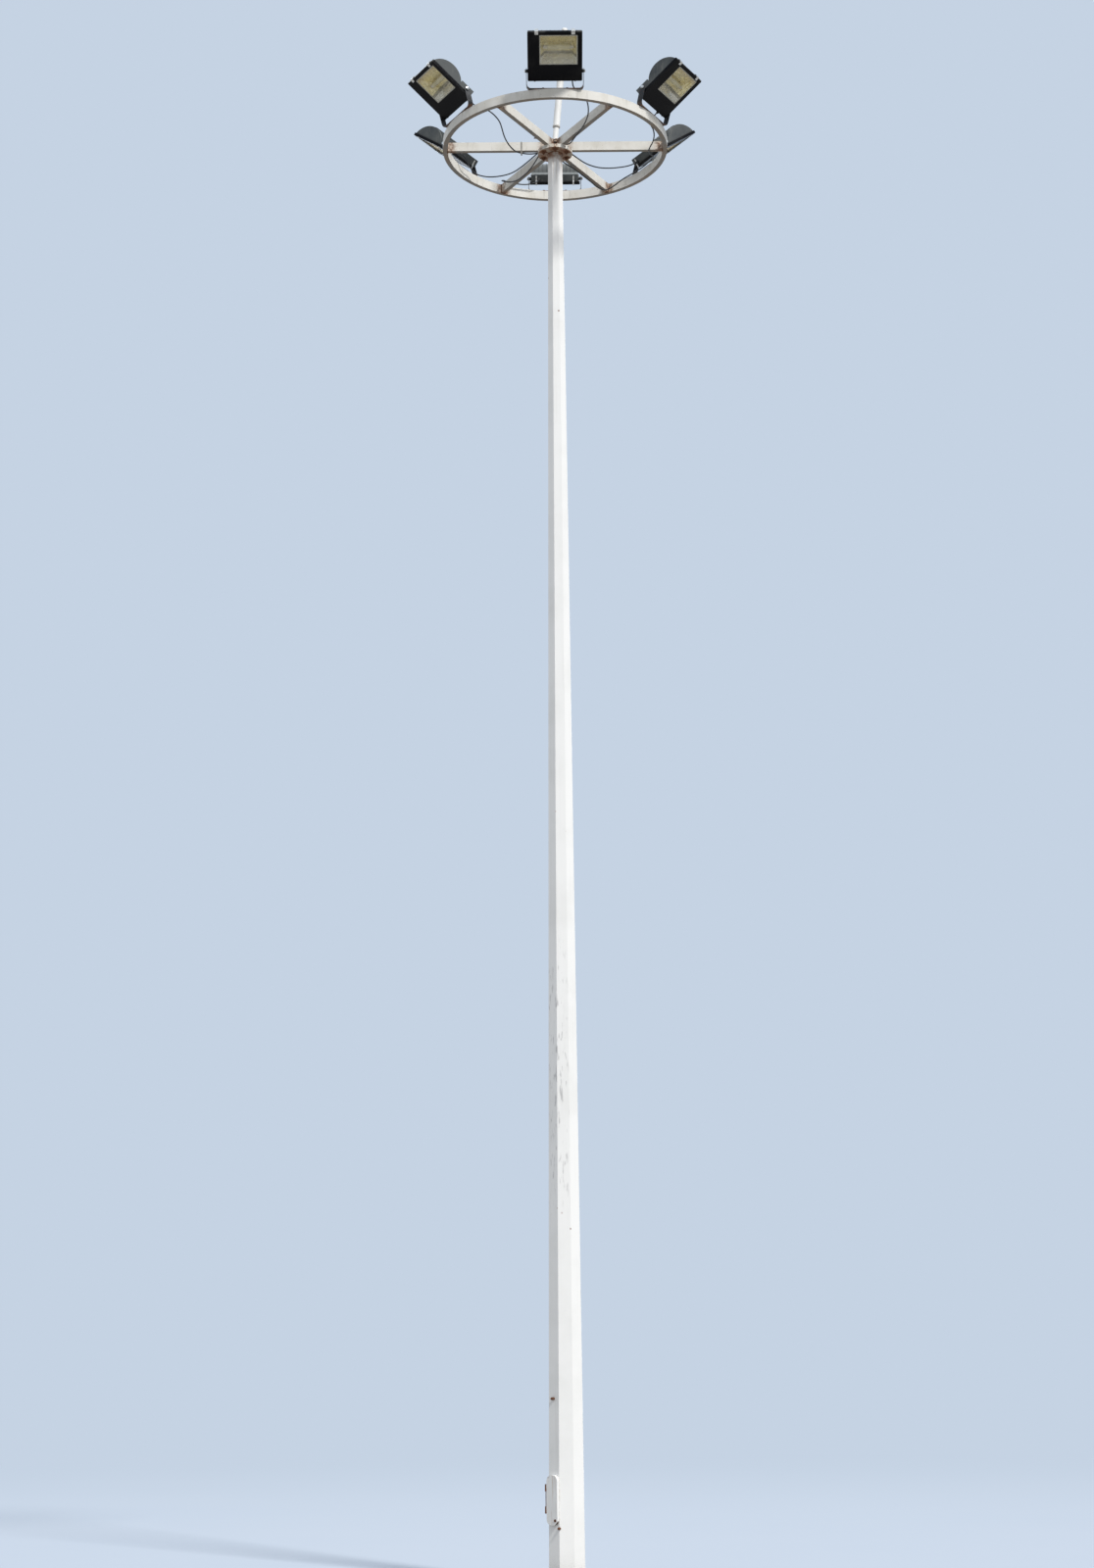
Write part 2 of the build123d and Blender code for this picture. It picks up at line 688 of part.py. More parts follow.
def lead_points(angle, tail):
    lamp = lamp_plane(angle)
    start = gland_reach + lead_gap
    points = [lamp.from_local_coords((gland_offset, -start - run, 0)) for run in (0, lead_straight)]
    points += [outward(bearing) * distance + Vector(0, 0, height) for bearing, distance, height in tail]
    return points


def corner_radii(points):
    radii = []
    for before, corner, after in zip(points, points[1:], points[2:]):
        first, second = corner - before, after - corner
        half_turn = radians(first.get_angle(second)) / 2
        radii.append(lead_arc_share * min(first.length, second.length) / tan(half_turn))
    return radii


for number, (angle, tail) in enumerate(zip(lamp_angles, lead_routes), start=1):
    points = lead_points(angle, tail)
    radii = corner_radii(points)
    with BuildPart() as lead:
        with BuildLine() as lead_path:
            FilletPolyline(*points, radius=radii)
        with BuildSketch(Plane(origin=points[0], z_dir=points[1] - points[0])):
            Circle(lead_radius)
        sweep(path=lead_path.wires()[0])
    save(lead.part, f"lamp_{number}_lead")
    expected = lead_path.wires()[0].length * pi * lead_radius**2
    print(f"lead {number}: {lead_path.wires()[0].length:.0f} mm, volume ratio {lead.part.volume / expected:.3f}")
    print("  corner radii in mm:", [round(radius) for radius in radii])
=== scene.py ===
import json
import math

import bmesh
import bpy
from mathutils import Matrix, Vector


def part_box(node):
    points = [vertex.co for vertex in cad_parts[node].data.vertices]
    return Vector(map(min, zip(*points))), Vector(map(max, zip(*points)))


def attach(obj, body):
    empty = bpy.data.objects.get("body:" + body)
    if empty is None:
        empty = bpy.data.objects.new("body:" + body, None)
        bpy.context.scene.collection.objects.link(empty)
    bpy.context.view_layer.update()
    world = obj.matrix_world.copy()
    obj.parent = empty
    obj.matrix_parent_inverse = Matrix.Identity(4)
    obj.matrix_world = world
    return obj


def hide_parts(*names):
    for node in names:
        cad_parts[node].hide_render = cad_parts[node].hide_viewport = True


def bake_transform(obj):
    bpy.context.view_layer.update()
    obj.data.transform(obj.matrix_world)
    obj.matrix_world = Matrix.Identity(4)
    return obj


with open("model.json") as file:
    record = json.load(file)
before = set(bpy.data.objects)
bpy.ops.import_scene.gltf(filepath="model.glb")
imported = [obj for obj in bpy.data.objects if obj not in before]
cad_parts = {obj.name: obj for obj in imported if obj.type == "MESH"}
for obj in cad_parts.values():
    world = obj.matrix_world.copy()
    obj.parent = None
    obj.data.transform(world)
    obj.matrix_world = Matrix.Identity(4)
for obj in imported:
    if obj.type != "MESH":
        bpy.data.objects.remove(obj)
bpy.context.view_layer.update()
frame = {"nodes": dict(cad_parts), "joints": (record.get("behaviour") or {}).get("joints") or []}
nodes = frame["nodes"]
jointPlaces = {joint["child"]: Vector(joint["pos_m"]) for joint in frame["joints"]}
print("frame loaded,", len(nodes), "nodes")

# Heights and radii that the loose fittings are placed by, read from the frame. All lengths are in metres.
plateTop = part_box("base_plate")[1][2]
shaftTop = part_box("mast_shaft")[1][2]
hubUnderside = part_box("mast_flange")[0][2]
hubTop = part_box("hub_plate")[1][2]
ringBottom, ringTop = (corner[2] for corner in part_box("ring"))
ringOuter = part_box("ring")[1][0]
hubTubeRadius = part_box("hub_tube")[1][0]
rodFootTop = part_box("rod_foot")[1][2]
ringTube = 0.04  # width of the tube that the ring and the spokes are made of
ringInner = ringOuter - ringTube
ringMiddle = ringOuter - ringTube / 2

# Bearings are in degrees from +X. The lamps stand halfway between the spokes, over the flange's bolts.
headPlan = {"lamps": 6, "firstSpoke": 45.0, "spokeStep": 60.0, "boltCircle": 0.115, "nutSeed": 9}
firstLamp = headPlan["firstSpoke"] + headPlan["spokeStep"] / 2
lampNumbers = range(1, headPlan["lamps"] + 1)

mastPlan = {"baseFlats": 0.280, "topFlats": 0.122, "faces": 8}
anchorPlan = {"count": 4, "spacing": 0.270, "spin": 0.5, "seed": 4}

# A lamp's own frame starts at its pivot, with X along the pivot, Y up the face and Z out of the window.
lampPlan = {
    "tilt": 55.0,
    "height": 0.440,
    "belowPivot": 0.070,
    "faceOut": 0.043,
    "glandAside": 0.146,
    "glandReach": 0.087,
    "pivotHeadOut": 0.2489,
}
faceTop = lampPlan["height"] - lampPlan["belowPivot"]


# Small helpers for points, frames and meshes.
def outward(angle):
    return Vector((math.cos(math.radians(angle)), math.sin(math.radians(angle)), 0.0))


def polar(bearing, distance, height):
    return outward(bearing) * distance + Vector((0, 0, height))


def lampMatrix(number):
    pivot = jointPlaces[f"lamp_{number}"]
    out = Vector((pivot.x, pivot.y, 0)).normalized()
    aside = Vector((-out.y, out.x, 0))
    tilt = math.radians(lampPlan["tilt"])
    facing = out * math.cos(tilt) - Vector((0, 0, math.sin(tilt)))
    upFace = facing.cross(aside)
    turn = Matrix((aside, upFace, facing)).transposed().to_4x4()
    return Matrix.Translation(pivot) @ turn


def flatMatrix(angle, distance, height):
    out = outward(angle)
    aside = Vector((-out.y, out.x, 0))
    turn = Matrix((aside, Vector((0, 0, 1)), out)).transposed().to_4x4()
    return Matrix.Translation(polar(angle, distance, height)) @ turn


def addObject(name, mesh):
    piece = bpy.data.objects.new(name, mesh)
    bpy.context.scene.collection.objects.link(piece)
    return piece


def meshFrom(form, name="form"):
    mesh = bpy.data.meshes.new(name)
    form.to_mesh(mesh)
    form.free()
    return mesh


def smoothFaces(mesh, angle=35.0):
    for polygon in mesh.polygons:
        polygon.use_smooth = True
    mesh.set_sharp_from_angle(angle=math.radians(angle))


def addLathe(form, profile, sides, centre=(0, 0, 0), turn=0.0):
    # The profile runs from the axis at the bottom to the axis at the top, as (radius, height).
    rings = []
    for radius, height in profile:
        if radius == 0:
            rings.append([form.verts.new((centre[0], centre[1], centre[2] + height))])
            continue
        ring = []
        for step in range(sides):
            angle = turn + step * math.tau / sides
            x = centre[0] + radius * math.cos(angle)
            y = centre[1] + radius * math.sin(angle)
            ring.append(form.verts.new((x, y, centre[2] + height)))
        rings.append(ring)
    for low, high in zip(rings, rings[1:]):
        for step in range(sides):
            after = (step + 1) % sides
            if len(low) == 1:
                form.faces.new((low[0], high[after], high[step]))
            elif len(high) == 1:
                form.faces.new((low[step], low[after], high[0]))
            else:
                form.faces.new((low[step], low[after], high[after], high[step]))


def addBand(form, outline, thickness, low, high):
    # A strip bent along an open outline of (y, z) points, between two x values.
    normals = []
    for index in range(len(outline)):
        before = outline[max(index - 1, 0)]
        after = outline[min(index + 1, len(outline) - 1)]
        run = Vector((after[0] - before[0], after[1] - before[1])).normalized()
        normals.append(Vector((-run.y, run.x)))
    rows = []
    for (y, z), normal in zip(outline, normals):
        back = (y + normal.x * thickness, z + normal.y * thickness)
        row = [form.verts.new((x, a, b)) for x in (low, high) for a, b in ((y, z), back)]
        rows.append(row)
    for one, two in zip(rows, rows[1:]):
        for a, b in ((0, 2), (2, 3), (3, 1), (1, 0)):
            form.faces.new((one[a], one[b], two[b], two[a]))
    form.faces.new((rows[0][0], rows[0][1], rows[0][3], rows[0][2]))
    form.faces.new((rows[-1][0], rows[-1][2], rows[-1][3], rows[-1][1]))


# Hex fastener that stands on z = 0: a washer, its heads or nuts, and a threaded end where it has one.
# The shares are of the washer's or the hex's own radius and height.
fastenerForm = {
    "washerSides": 20,
    "washerRim": (0.95, 0.8),
    "hexFoot": 0.93,
    "hexCrown": 0.9,
    "hexChamfer": 0.12,
    "studSides": 14,
    "threadRoot": 0.9,
    "studTip": 0.85,
}


def hexFastener(size):
    form = bmesh.new()
    washer, thick = size["washerRadius"], size["washerThickness"]
    rimIn, rimUp = fastenerForm["washerRim"]
    profile = [(0, 0), (washer, 0), (washer, thick * rimUp), (washer * rimIn, thick), (0, thick)]
    addLathe(form, profile, fastenerForm["washerSides"])
    radius = size["acrossFlats"] / math.sqrt(3)
    chamfer = size["hexHeight"] * fastenerForm["hexChamfer"]
    for start, turn in size.get("hexes", ((0.0, 0.0),)):
        low = thick + start
        high = low + size["hexHeight"]
        profile = [(0, low), (radius * fastenerForm["hexFoot"], low), (radius, low + chamfer)]
        profile += [(radius, high - chamfer), (radius * fastenerForm["hexCrown"], high), (0, high)]
        addLathe(form, profile, 6, turn=turn)
    if "studLength" in size:
        stud, end, pitch = size["studRadius"], size["studLength"], size["threadPitch"]
        profile = [(0, thick)]
        for turnNumber in range(int((end - thick) / pitch)):
            height = thick + turnNumber * pitch
            profile += [(stud, height), (stud * fastenerForm["threadRoot"], height + pitch / 2)]
        profile += [(stud * fastenerForm["studTip"], end), (0, end)]
        addLathe(form, profile, fastenerForm["studSides"])
    return meshFrom(form)


# Node trees. Each one is built here, with named inputs, and is used by a modifier that is then applied.
def startTree(name, sockets):
    tree = bpy.data.node_groups.new(name, "GeometryNodeTree")
    tree.interface.new_socket("Geometry", in_out="INPUT", socket_type="NodeSocketGeometry")
    for socketName, kind in sockets:
        tree.interface.new_socket(socketName, in_out="INPUT", socket_type=f"NodeSocket{kind}")
    tree.interface.new_socket("Geometry", in_out="OUTPUT", socket_type="NodeSocketGeometry")
    return tree, tree.nodes.new("NodeGroupInput").outputs


def addNode(tree, kind, inputs=None, **settings):
    node = tree.nodes.new(kind)
    for key, value in settings.items():
        setattr(node, key, value)
    for key, value in (inputs or {}).items():
        if isinstance(value, bpy.types.NodeSocket):
            tree.links.new(value, node.inputs[key])
        else:
            node.inputs[key].default_value = value
    return node


def calculate(tree, operation, first, second=0.0):
    return addNode(tree, "ShaderNodeMath", {0: first, 1: second}, operation=operation).outputs[0]


def endTree(tree, geometry, material):
    real = addNode(tree, "GeometryNodeRealizeInstances", {"Geometry": geometry})
    painted = addNode(tree, "GeometryNodeSetMaterial", {"Geometry": real.outputs[0], "Material": material})
    output = tree.nodes.new("NodeGroupOutput")
    tree.links.new(painted.outputs[0], output.inputs[0])
    return tree


def buildCircleTree():
    # Copies of the piece on a circle round Z, each turned outwards and spun a little about its own axis.
    sockets = [(name, "Float") for name in ("Radius", "Start", "Height", "Spin")]
    sockets += [("Count", "Int"), ("Seed", "Int"), ("Material", "Material")]
    tree, given = startTree("copiesOnCircle", sockets)
    points = addNode(tree, "GeometryNodePoints", {"Count": given["Count"]})
    index = addNode(tree, "GeometryNodeInputIndex").outputs[0]
    step = calculate(tree, "DIVIDE", math.tau, given["Count"])
    angle = calculate(tree, "ADD", calculate(tree, "MULTIPLY", index, step), given["Start"])
    x = calculate(tree, "MULTIPLY", calculate(tree, "COSINE", angle), given["Radius"])
    y = calculate(tree, "MULTIPLY", calculate(tree, "SINE", angle), given["Radius"])
    place = addNode(tree, "ShaderNodeCombineXYZ", {"X": x, "Y": y, "Z": given["Height"]})
    placed = addNode(
        tree, "GeometryNodeSetPosition", {"Geometry": points.outputs[0], "Position": place.outputs[0]}
    )
    less = calculate(tree, "MULTIPLY", given["Spin"], -1.0)
    spin = addNode(
        tree,
        "FunctionNodeRandomValue",
        {2: less, 3: given["Spin"], "Seed": given["Seed"]},
        data_type="FLOAT",
    )
    turn = addNode(tree, "ShaderNodeCombineXYZ", {"Z": calculate(tree, "ADD", angle, spin.outputs[1])})
    copies = addNode(
        tree,
        "GeometryNodeInstanceOnPoints",
        {"Points": placed.outputs[0], "Instance": given["Geometry"], "Rotation": turn.outputs[0]},
    )
    return endTree(tree, copies.outputs[0], given["Material"])


def buildRowTree():
    # Copies of the piece in a row, centred on the origin, along the given step.
    sockets = [("Count", "Int"), ("Step", "Vector"), ("Material", "Material")]
    tree, given = startTree("copiesInRow", sockets)
    half = calculate(tree, "MULTIPLY", calculate(tree, "SUBTRACT", given["Count"], 1.0), -0.5)
    start = addNode(tree, "ShaderNodeVectorMath", {0: given["Step"], "Scale": half}, operation="SCALE")
    line = addNode(
        tree,
        "GeometryNodeMeshLine",
        {"Count": given["Count"], "Start Location": start.outputs[0], "Offset": given["Step"]},
    )
    copies = addNode(
        tree, "GeometryNodeInstanceOnPoints", {"Points": line.outputs[0], "Instance": given["Geometry"]}
    )
    return endTree(tree, copies.outputs[0], given["Material"])


beadForm = {"spacing": 0.34, "noise": 60.0, "wave": 0.14, "swell": 0.7, "sides": 6}


def buildBeadTree():
    # A rippled weld bead along the piece's edges. Wave and swell are shares of its radius.
    sockets = [("Radius", "Float"), ("Ripple", "Float"), ("Wander", "Float"), ("Seed", "Float")]
    tree, given = startTree("weldBead", sockets + [("Material", "Material")])
    path = addNode(tree, "GeometryNodeMeshToCurve", {"Mesh": given["Geometry"]})
    spacing = calculate(tree, "MULTIPLY", given["Ripple"], beadForm["spacing"])
    even = addNode(
        tree, "GeometryNodeResampleCurve", {"Curve": path.outputs[0], "Length": spacing}, mode="LENGTH"
    )
    place = addNode(tree, "GeometryNodeInputPosition").outputs[0]
    noise = addNode(
        tree,
        "ShaderNodeTexNoise",
        {"Vector": place, "W": given["Seed"], "Scale": beadForm["noise"], "Detail": 1.0},
        noise_dimensions="4D",
    )
    centred = addNode(
        tree, "ShaderNodeVectorMath", {0: noise.outputs["Color"], 1: (0.5, 0.5, 0.5)}, operation="SUBTRACT"
    )
    drift = addNode(
        tree, "ShaderNodeVectorMath", {0: centred.outputs[0], "Scale": given["Wander"]}, operation="SCALE"
    )
    movedInputs = {"Geometry": even.outputs[0], "Offset": drift.outputs[0]}
    moved = addNode(tree, "GeometryNodeSetPosition", movedInputs)
    along = addNode(tree, "GeometryNodeSplineParameter").outputs["Length"]
    phase = calculate(tree, "MULTIPLY", calculate(tree, "DIVIDE", along, given["Ripple"]), math.tau)
    wave = calculate(tree, "MULTIPLY", calculate(tree, "SINE", phase), beadForm["wave"])
    uneven = calculate(tree, "SUBTRACT", noise.outputs["Fac"], 0.5)
    swell = calculate(tree, "MULTIPLY", uneven, beadForm["swell"])
    scale = calculate(tree, "ADD", calculate(tree, "ADD", wave, swell), 1.0)
    sectionInputs = {"Resolution": beadForm["sides"], "Radius": given["Radius"]}
    section = addNode(tree, "GeometryNodeCurvePrimitiveCircle", sectionInputs)
    tube = addNode(
        tree,
        "GeometryNodeCurveToMesh",
        {"Curve": moved.outputs[0], "Profile Curve": section.outputs[0], "Scale": scale, "Fill Caps": True},
    )
    return endTree(tree, tube.outputs[0], given["Material"])


trees = {"circle": buildCircleTree(), "row": buildRowTree(), "bead": buildBeadTree()}


def addModifier(piece, treeName, values):
    modifier = piece.modifiers.new(treeName, "NODES")
    modifier.node_group = trees[treeName]
    for item in trees[treeName].interface.items_tree:
        if item.in_out == "INPUT" and item.name in values:
            modifier[item.identifier] = values[item.name]
    return modifier


def applyModifiers(piece):
    depsgraph = bpy.context.evaluated_depsgraph_get()
    depsgraph.update()
    mesh = bpy.data.meshes.new_from_object(piece.evaluated_get(depsgraph))
    mesh.name = piece.name
    piece.modifiers.clear()
    piece.data = mesh
    return mesh


def makeCopies(name, mesh, steps):
    piece = addObject(name, mesh)
    for treeName, values in steps:
        addModifier(piece, treeName, values)
    applyModifiers(piece)
    return piece


touching = 1e-6


def pathMesh(paths):
    # Loose edges through each list of points; a path whose last point is its first is closed.
    form = bmesh.new()
    for points in paths:
        closed = (Vector(points[0]) - Vector(points[-1])).length < touching
        corners = [form.verts.new(point) for point in (points[:-1] if closed else points)]
        for one, two in zip(corners, corners[1:]):
            form.edges.new((one, two))
        if closed:
            form.edges.new((corners[-1], corners[0]))
    return meshFrom(form)


def joinPieces(name, pieces):
    form = bmesh.new()
    materials = []
    for piece in pieces:
        for material in piece.data.materials:
            if material not in materials:
                materials.append(material)
    for piece in pieces:
        start = len(form.faces)
        form.from_mesh(piece.data)
        form.faces.ensure_lookup_table()
        for face in form.faces[start:]:
            face.material_index = materials.index(piece.data.materials[face.material_index])
    mesh = meshFrom(form, name)
    for material in materials:
        mesh.materials.append(material)
    for piece in pieces:
        bpy.data.objects.remove(piece)
    return addObject(name, mesh)


# Shader helpers. Every finish reads Object coordinates, and a lamp's finishes read the lamp's own frame.
# In a finish's dictionary a patch has its noise scale or stretch, the two noise levels that cut it out
# and the amount that it covers. Other pairs are the places where a mask starts and where it is full.
def startMaterial(name, roughness=0.5, metallic=0.0):
    material = bpy.data.materials.new(name)
    material.use_nodes = True
    shader = material.node_tree.nodes["Principled BSDF"]
    shader.inputs["Roughness"].default_value = roughness
    shader.inputs["Metallic"].default_value = metallic
    return material, material.node_tree, shader


def objectPlace(tree, number=None):
    place = addNode(tree, "ShaderNodeTexCoord").outputs["Object"]
    if number is None:
        return place
    matrix = lampMatrix(number)
    inputs = {"Vector": place, "Location": matrix.to_translation(), "Rotation": matrix.to_euler()}
    return addNode(tree, "ShaderNodeMapping", inputs, vector_type="TEXTURE").outputs[0]


def rangeMask(tree, value, edges, ends=(0.0, 1.0), datum=0.0):
    # Goes smoothly from one end to the other between the two edges, which are measured from the datum.
    inputs = {0: value, 1: datum + edges[0], 2: datum + edges[1], 3: ends[0], 4: ends[1]}
    return addNode(tree, "ShaderNodeMapRange", inputs, interpolation_type="SMOOTHSTEP").outputs[0]


def noiseMask(tree, place, patch, number=1):
    shift = [part * number for part in patch.get("shift", (0, 0, 0))]
    if "stretch" in patch or any(shift):
        inputs = {"Vector": place, "Location": shift, "Scale": patch.get("stretch", (1, 1, 1))}
        place = addNode(tree, "ShaderNodeMapping", inputs).outputs[0]
    inputs = {"Vector": place, "Scale": patch.get("scale", 1.0), "Detail": patch.get("detail", 4.0)}
    noise = addNode(tree, "ShaderNodeTexNoise", dict(inputs, Roughness=patch.get("rough", 0.55)))
    return rangeMask(tree, noise.outputs["Fac"], patch["cut"])


def grain(tree, place, scale, detail=2.0):
    # Fine texture of a coat or a casting, for the bump.
    return noiseMask(tree, place, {"scale": scale, "cut": (0.3, 0.7), "detail": detail})


def combine(tree, operation, values):
    result = values[0]
    for value in values[1:]:
        result = calculate(tree, operation, result, value)
    return result


def multiply(tree, *values):
    return combine(tree, "MULTIPLY", values)


def strongest(tree, *values):
    return combine(tree, "MAXIMUM", values)


def mixColour(tree, mask, under, over):
    node = addNode(tree, "ShaderNodeMix", data_type="RGBA")
    for index, value in ((0, mask), (6, under), (7, over)):
        if isinstance(value, bpy.types.NodeSocket):
            tree.links.new(value, node.inputs[index])
        else:
            node.inputs[index].default_value = value if index == 0 else (*value, 1.0)
    return node.outputs[2]


def cover(tree, colour, over, amount, *masks):
    # Lays one colour over another where all the masks let it.
    return mixColour(tree, multiply(tree, *masks, amount), colour, over)


def wear(tree, place, colour, over, patch, *masks):
    # Lays one colour over another in patches of noise.
    return cover(tree, colour, over, patch["amount"], noiseMask(tree, place, patch), *masks)


def setBump(tree, shader, heights, distance):
    total = combine(tree, "ADD", heights)
    bump = addNode(tree, "ShaderNodeBump", {"Height": total, "Distance": distance})
    tree.links.new(bump.outputs[0], shader.inputs["Normal"])


def finishShader(tree, shader, colour, mask=None, roughness=None):
    tree.links.new(colour, shader.inputs["Base Color"])
    if mask is not None:
        tree.links.new(rangeMask(tree, mask, (0.0, 1.0), roughness), shader.inputs["Roughness"])


def splitPlace(tree, place):
    return addNode(tree, "ShaderNodeSeparateXYZ", {0: place}).outputs


def facingMask(tree, edges):
    # How far a face looks up, or down where the edges are below zero.
    normal = addNode(tree, "ShaderNodeNewGeometry").outputs["Normal"]
    return rangeMask(tree, splitPlace(tree, normal)["Z"], edges)


def axisDistance(tree, place):
    parts = splitPlace(tree, place)
    flat = addNode(tree, "ShaderNodeCombineXYZ", {"X": parts["X"], "Y": parts["Y"]})
    return addNode(tree, "ShaderNodeVectorMath", {0: flat.outputs[0]}, operation="LENGTH").outputs["Value"]


def fromLevel(tree, value, level):
    # Distance of a coordinate from one level, either way.
    return calculate(tree, "ABSOLUTE", calculate(tree, "SUBTRACT", value, level))


def foldedAngle(tree, place, start):
    # Angle in radians from the nearest of six directions, the first of which is start degrees.
    parts = splitPlace(tree, place)
    angle = calculate(tree, "ARCTAN2", parts["Y"], parts["X"])
    half = math.radians(headPlan["spokeStep"] / 2)
    shifted = calculate(tree, "ADD", angle, 2 * math.tau - math.radians(start) + half)
    wrapped = calculate(tree, "MODULO", shifted, 2 * half)
    return calculate(tree, "SUBTRACT", wrapped, half)


paint = {
    "white": (0.86, 0.862, 0.85),
    "whiteWorn": (0.74, 0.745, 0.73),
    "cream": (0.735, 0.718, 0.67),
    "creamWorn": (0.60, 0.575, 0.51),
    "grime": (0.36, 0.34, 0.30),
    # Near-black painted shade for the faces of the ring and spokes that look down.
    "soffitShade": (0.095, 0.085, 0.075),
    "flangeBrown": (0.27, 0.195, 0.13),
    "rustDark": (0.062, 0.026, 0.015),
    "rustMiddle": (0.21, 0.082, 0.034),
    "rustStain": (0.43, 0.28, 0.16),
    "scuff": (0.20, 0.20, 0.21),
}
rustPatches = {"scale": 70, "cut": (0.38, 0.66), "detail": 6.0}
underside = (-0.3, -0.85)


def rustColour(tree, place):
    return mixColour(tree, noiseMask(tree, place, rustPatches), paint["rustDark"], paint["rustMiddle"])


mastFinish = {
    "worn": {"scale": 2.3, "cut": (0.42, 0.72), "amount": 0.55},
    "runs": {"stretch": (42, 42, 0.7), "cut": (0.56, 0.78), "amount": 0.13},
    "scuffs": {
        "stretch": (48, 48, 9),
        "cut": (0.55, 0.68),
        "detail": 7.0,
        "shift": (3.1, 1.7, 0.4),
        "amount": 0.5,
    },
    "scuffsFrom": (2.6, 3.3),
    "scuffsTo": (5.2, 4.4),
    "scuffsSide": (-0.03, -0.08),
    "drips": {"stretch": (60, 60, 1.6), "cut": (0.47, 0.66), "shift": (0.7, 0, 0), "amount": 0.5},
    "dripsDown": (-0.42, -0.02),
    "collar": (-0.11, -0.005),
    "collarStain": 0.62,
    "collarRust": 0.85,
    "blotches": {"scale": 26, "cut": (0.36, 0.56), "detail": 6.0},
    "splash": {"scale": 95, "cut": (0.44, 0.74), "detail": 9.0, "rough": 0.75, "amount": 0.62},
    "splashUp": (0.28, 0.0),
    "soil": 0.3,
    "foot": (0.07, 0.0),
    "footRust": 0.8,
    "chips": {"scale": 0.8, "cut": (0.56, 0.60), "amount": 0.8},
    "chipCells": 9.0,
    "chipSize": (0.085, 0.06),
    "roughness": (0.36, 0.6),
    "grain": 240,
    "grainDepth": 0.4,
    "bump": 0.0004,
}


def makeMastPaint():
    plan = mastFinish
    material, tree, shader = startMaterial("mastPaint")
    place = objectPlace(tree)
    parts = splitPlace(tree, place)
    worn = noiseMask(tree, place, plan["worn"])
    runs = noiseMask(tree, place, plan["runs"])
    colour = cover(tree, paint["white"], paint["whiteWorn"], plan["worn"]["amount"], worn)
    colour = cover(tree, colour, paint["grime"], plan["runs"]["amount"], runs)
    # Scuffs on the door's side of the mast, about three to five metres up.
    band = [rangeMask(tree, parts["Z"], plan[end]) for end in ("scuffsFrom", "scuffsTo")]
    side = rangeMask(tree, parts["Y"], plan["scuffsSide"])
    colour = wear(tree, place, colour, paint["scuff"], plan["scuffs"], *band, side)
    # Rust that has run down from the flange.
    high = rangeMask(tree, parts["Z"], plan["dripsDown"], datum=shaftTop)
    colour = wear(tree, place, colour, paint["rustStain"], plan["drips"], high)
    collar = rangeMask(tree, parts["Z"], plan["collar"], datum=shaftTop)
    blotches = noiseMask(tree, place, plan["blotches"])
    colour = cover(tree, colour, paint["flangeBrown"], plan["collarStain"], collar)
    colour = cover(tree, colour, paint["rustMiddle"], plan["collarRust"], collar, blotches)
    # Splashed soil and rust at the foot.
    low = rangeMask(tree, parts["Z"], plan["splashUp"], datum=plateTop)
    colour = wear(tree, place, colour, paint["grime"], plan["splash"], low)
    colour = cover(tree, colour, paint["grime"], plan["soil"], low, low)
    foot = rangeMask(tree, parts["Z"], plan["foot"], datum=plateTop)
    colour = cover(tree, colour, paint["rustMiddle"], plan["footRust"], foot, blotches)
    # Chips through the paint.
    cells = addNode(tree, "ShaderNodeTexVoronoi", {"Vector": place, "Scale": plan["chipCells"]})
    spots = rangeMask(tree, cells.outputs["Distance"], plan["chipSize"])
    chips = multiply(tree, spots, noiseMask(tree, place, plan["chips"]))
    colour = cover(tree, colour, paint["rustMiddle"], plan["chips"]["amount"], chips)
    finishShader(tree, shader, colour, strongest(tree, worn, runs), plan["roughness"])
    coat = multiply(tree, grain(tree, place, plan["grain"]), plan["grainDepth"])
    setBump(tree, shader, [coat, multiply(tree, chips, -1.0)], plan["bump"])
    return material


headFinish = {
    "worn": {"scale": 5.5, "cut": (0.40, 0.68), "amount": 0.7},
    "streaks": {"stretch": (30, 30, 6), "cut": (0.54, 0.74), "amount": 0.4},
    "soffit": 0.82,
    "stained": {"scale": 9, "cut": (0.34, 0.60), "detail": 6.0, "amount": 0.22},
    "besideSpoke": (0.085, 0.026),
    "insideRing": (-0.095, -0.02),
    "ringFace": (0.006, 0.001),
    "roundHub": (0.17, 0.085),
    "endStain": 0.55,
    "endRust": 0.9,
    "ragged": {"scale": 34, "cut": (0.36, 0.60), "detail": 7.0},
    "pits": {"scale": 74, "cut": (0.675, 0.73), "detail": 5.0, "amount": 0.75},
    "roughness": (0.42, 0.78),
    "grain": 190,
    "grainDepth": 0.4,
    "bump": 0.0005,
}


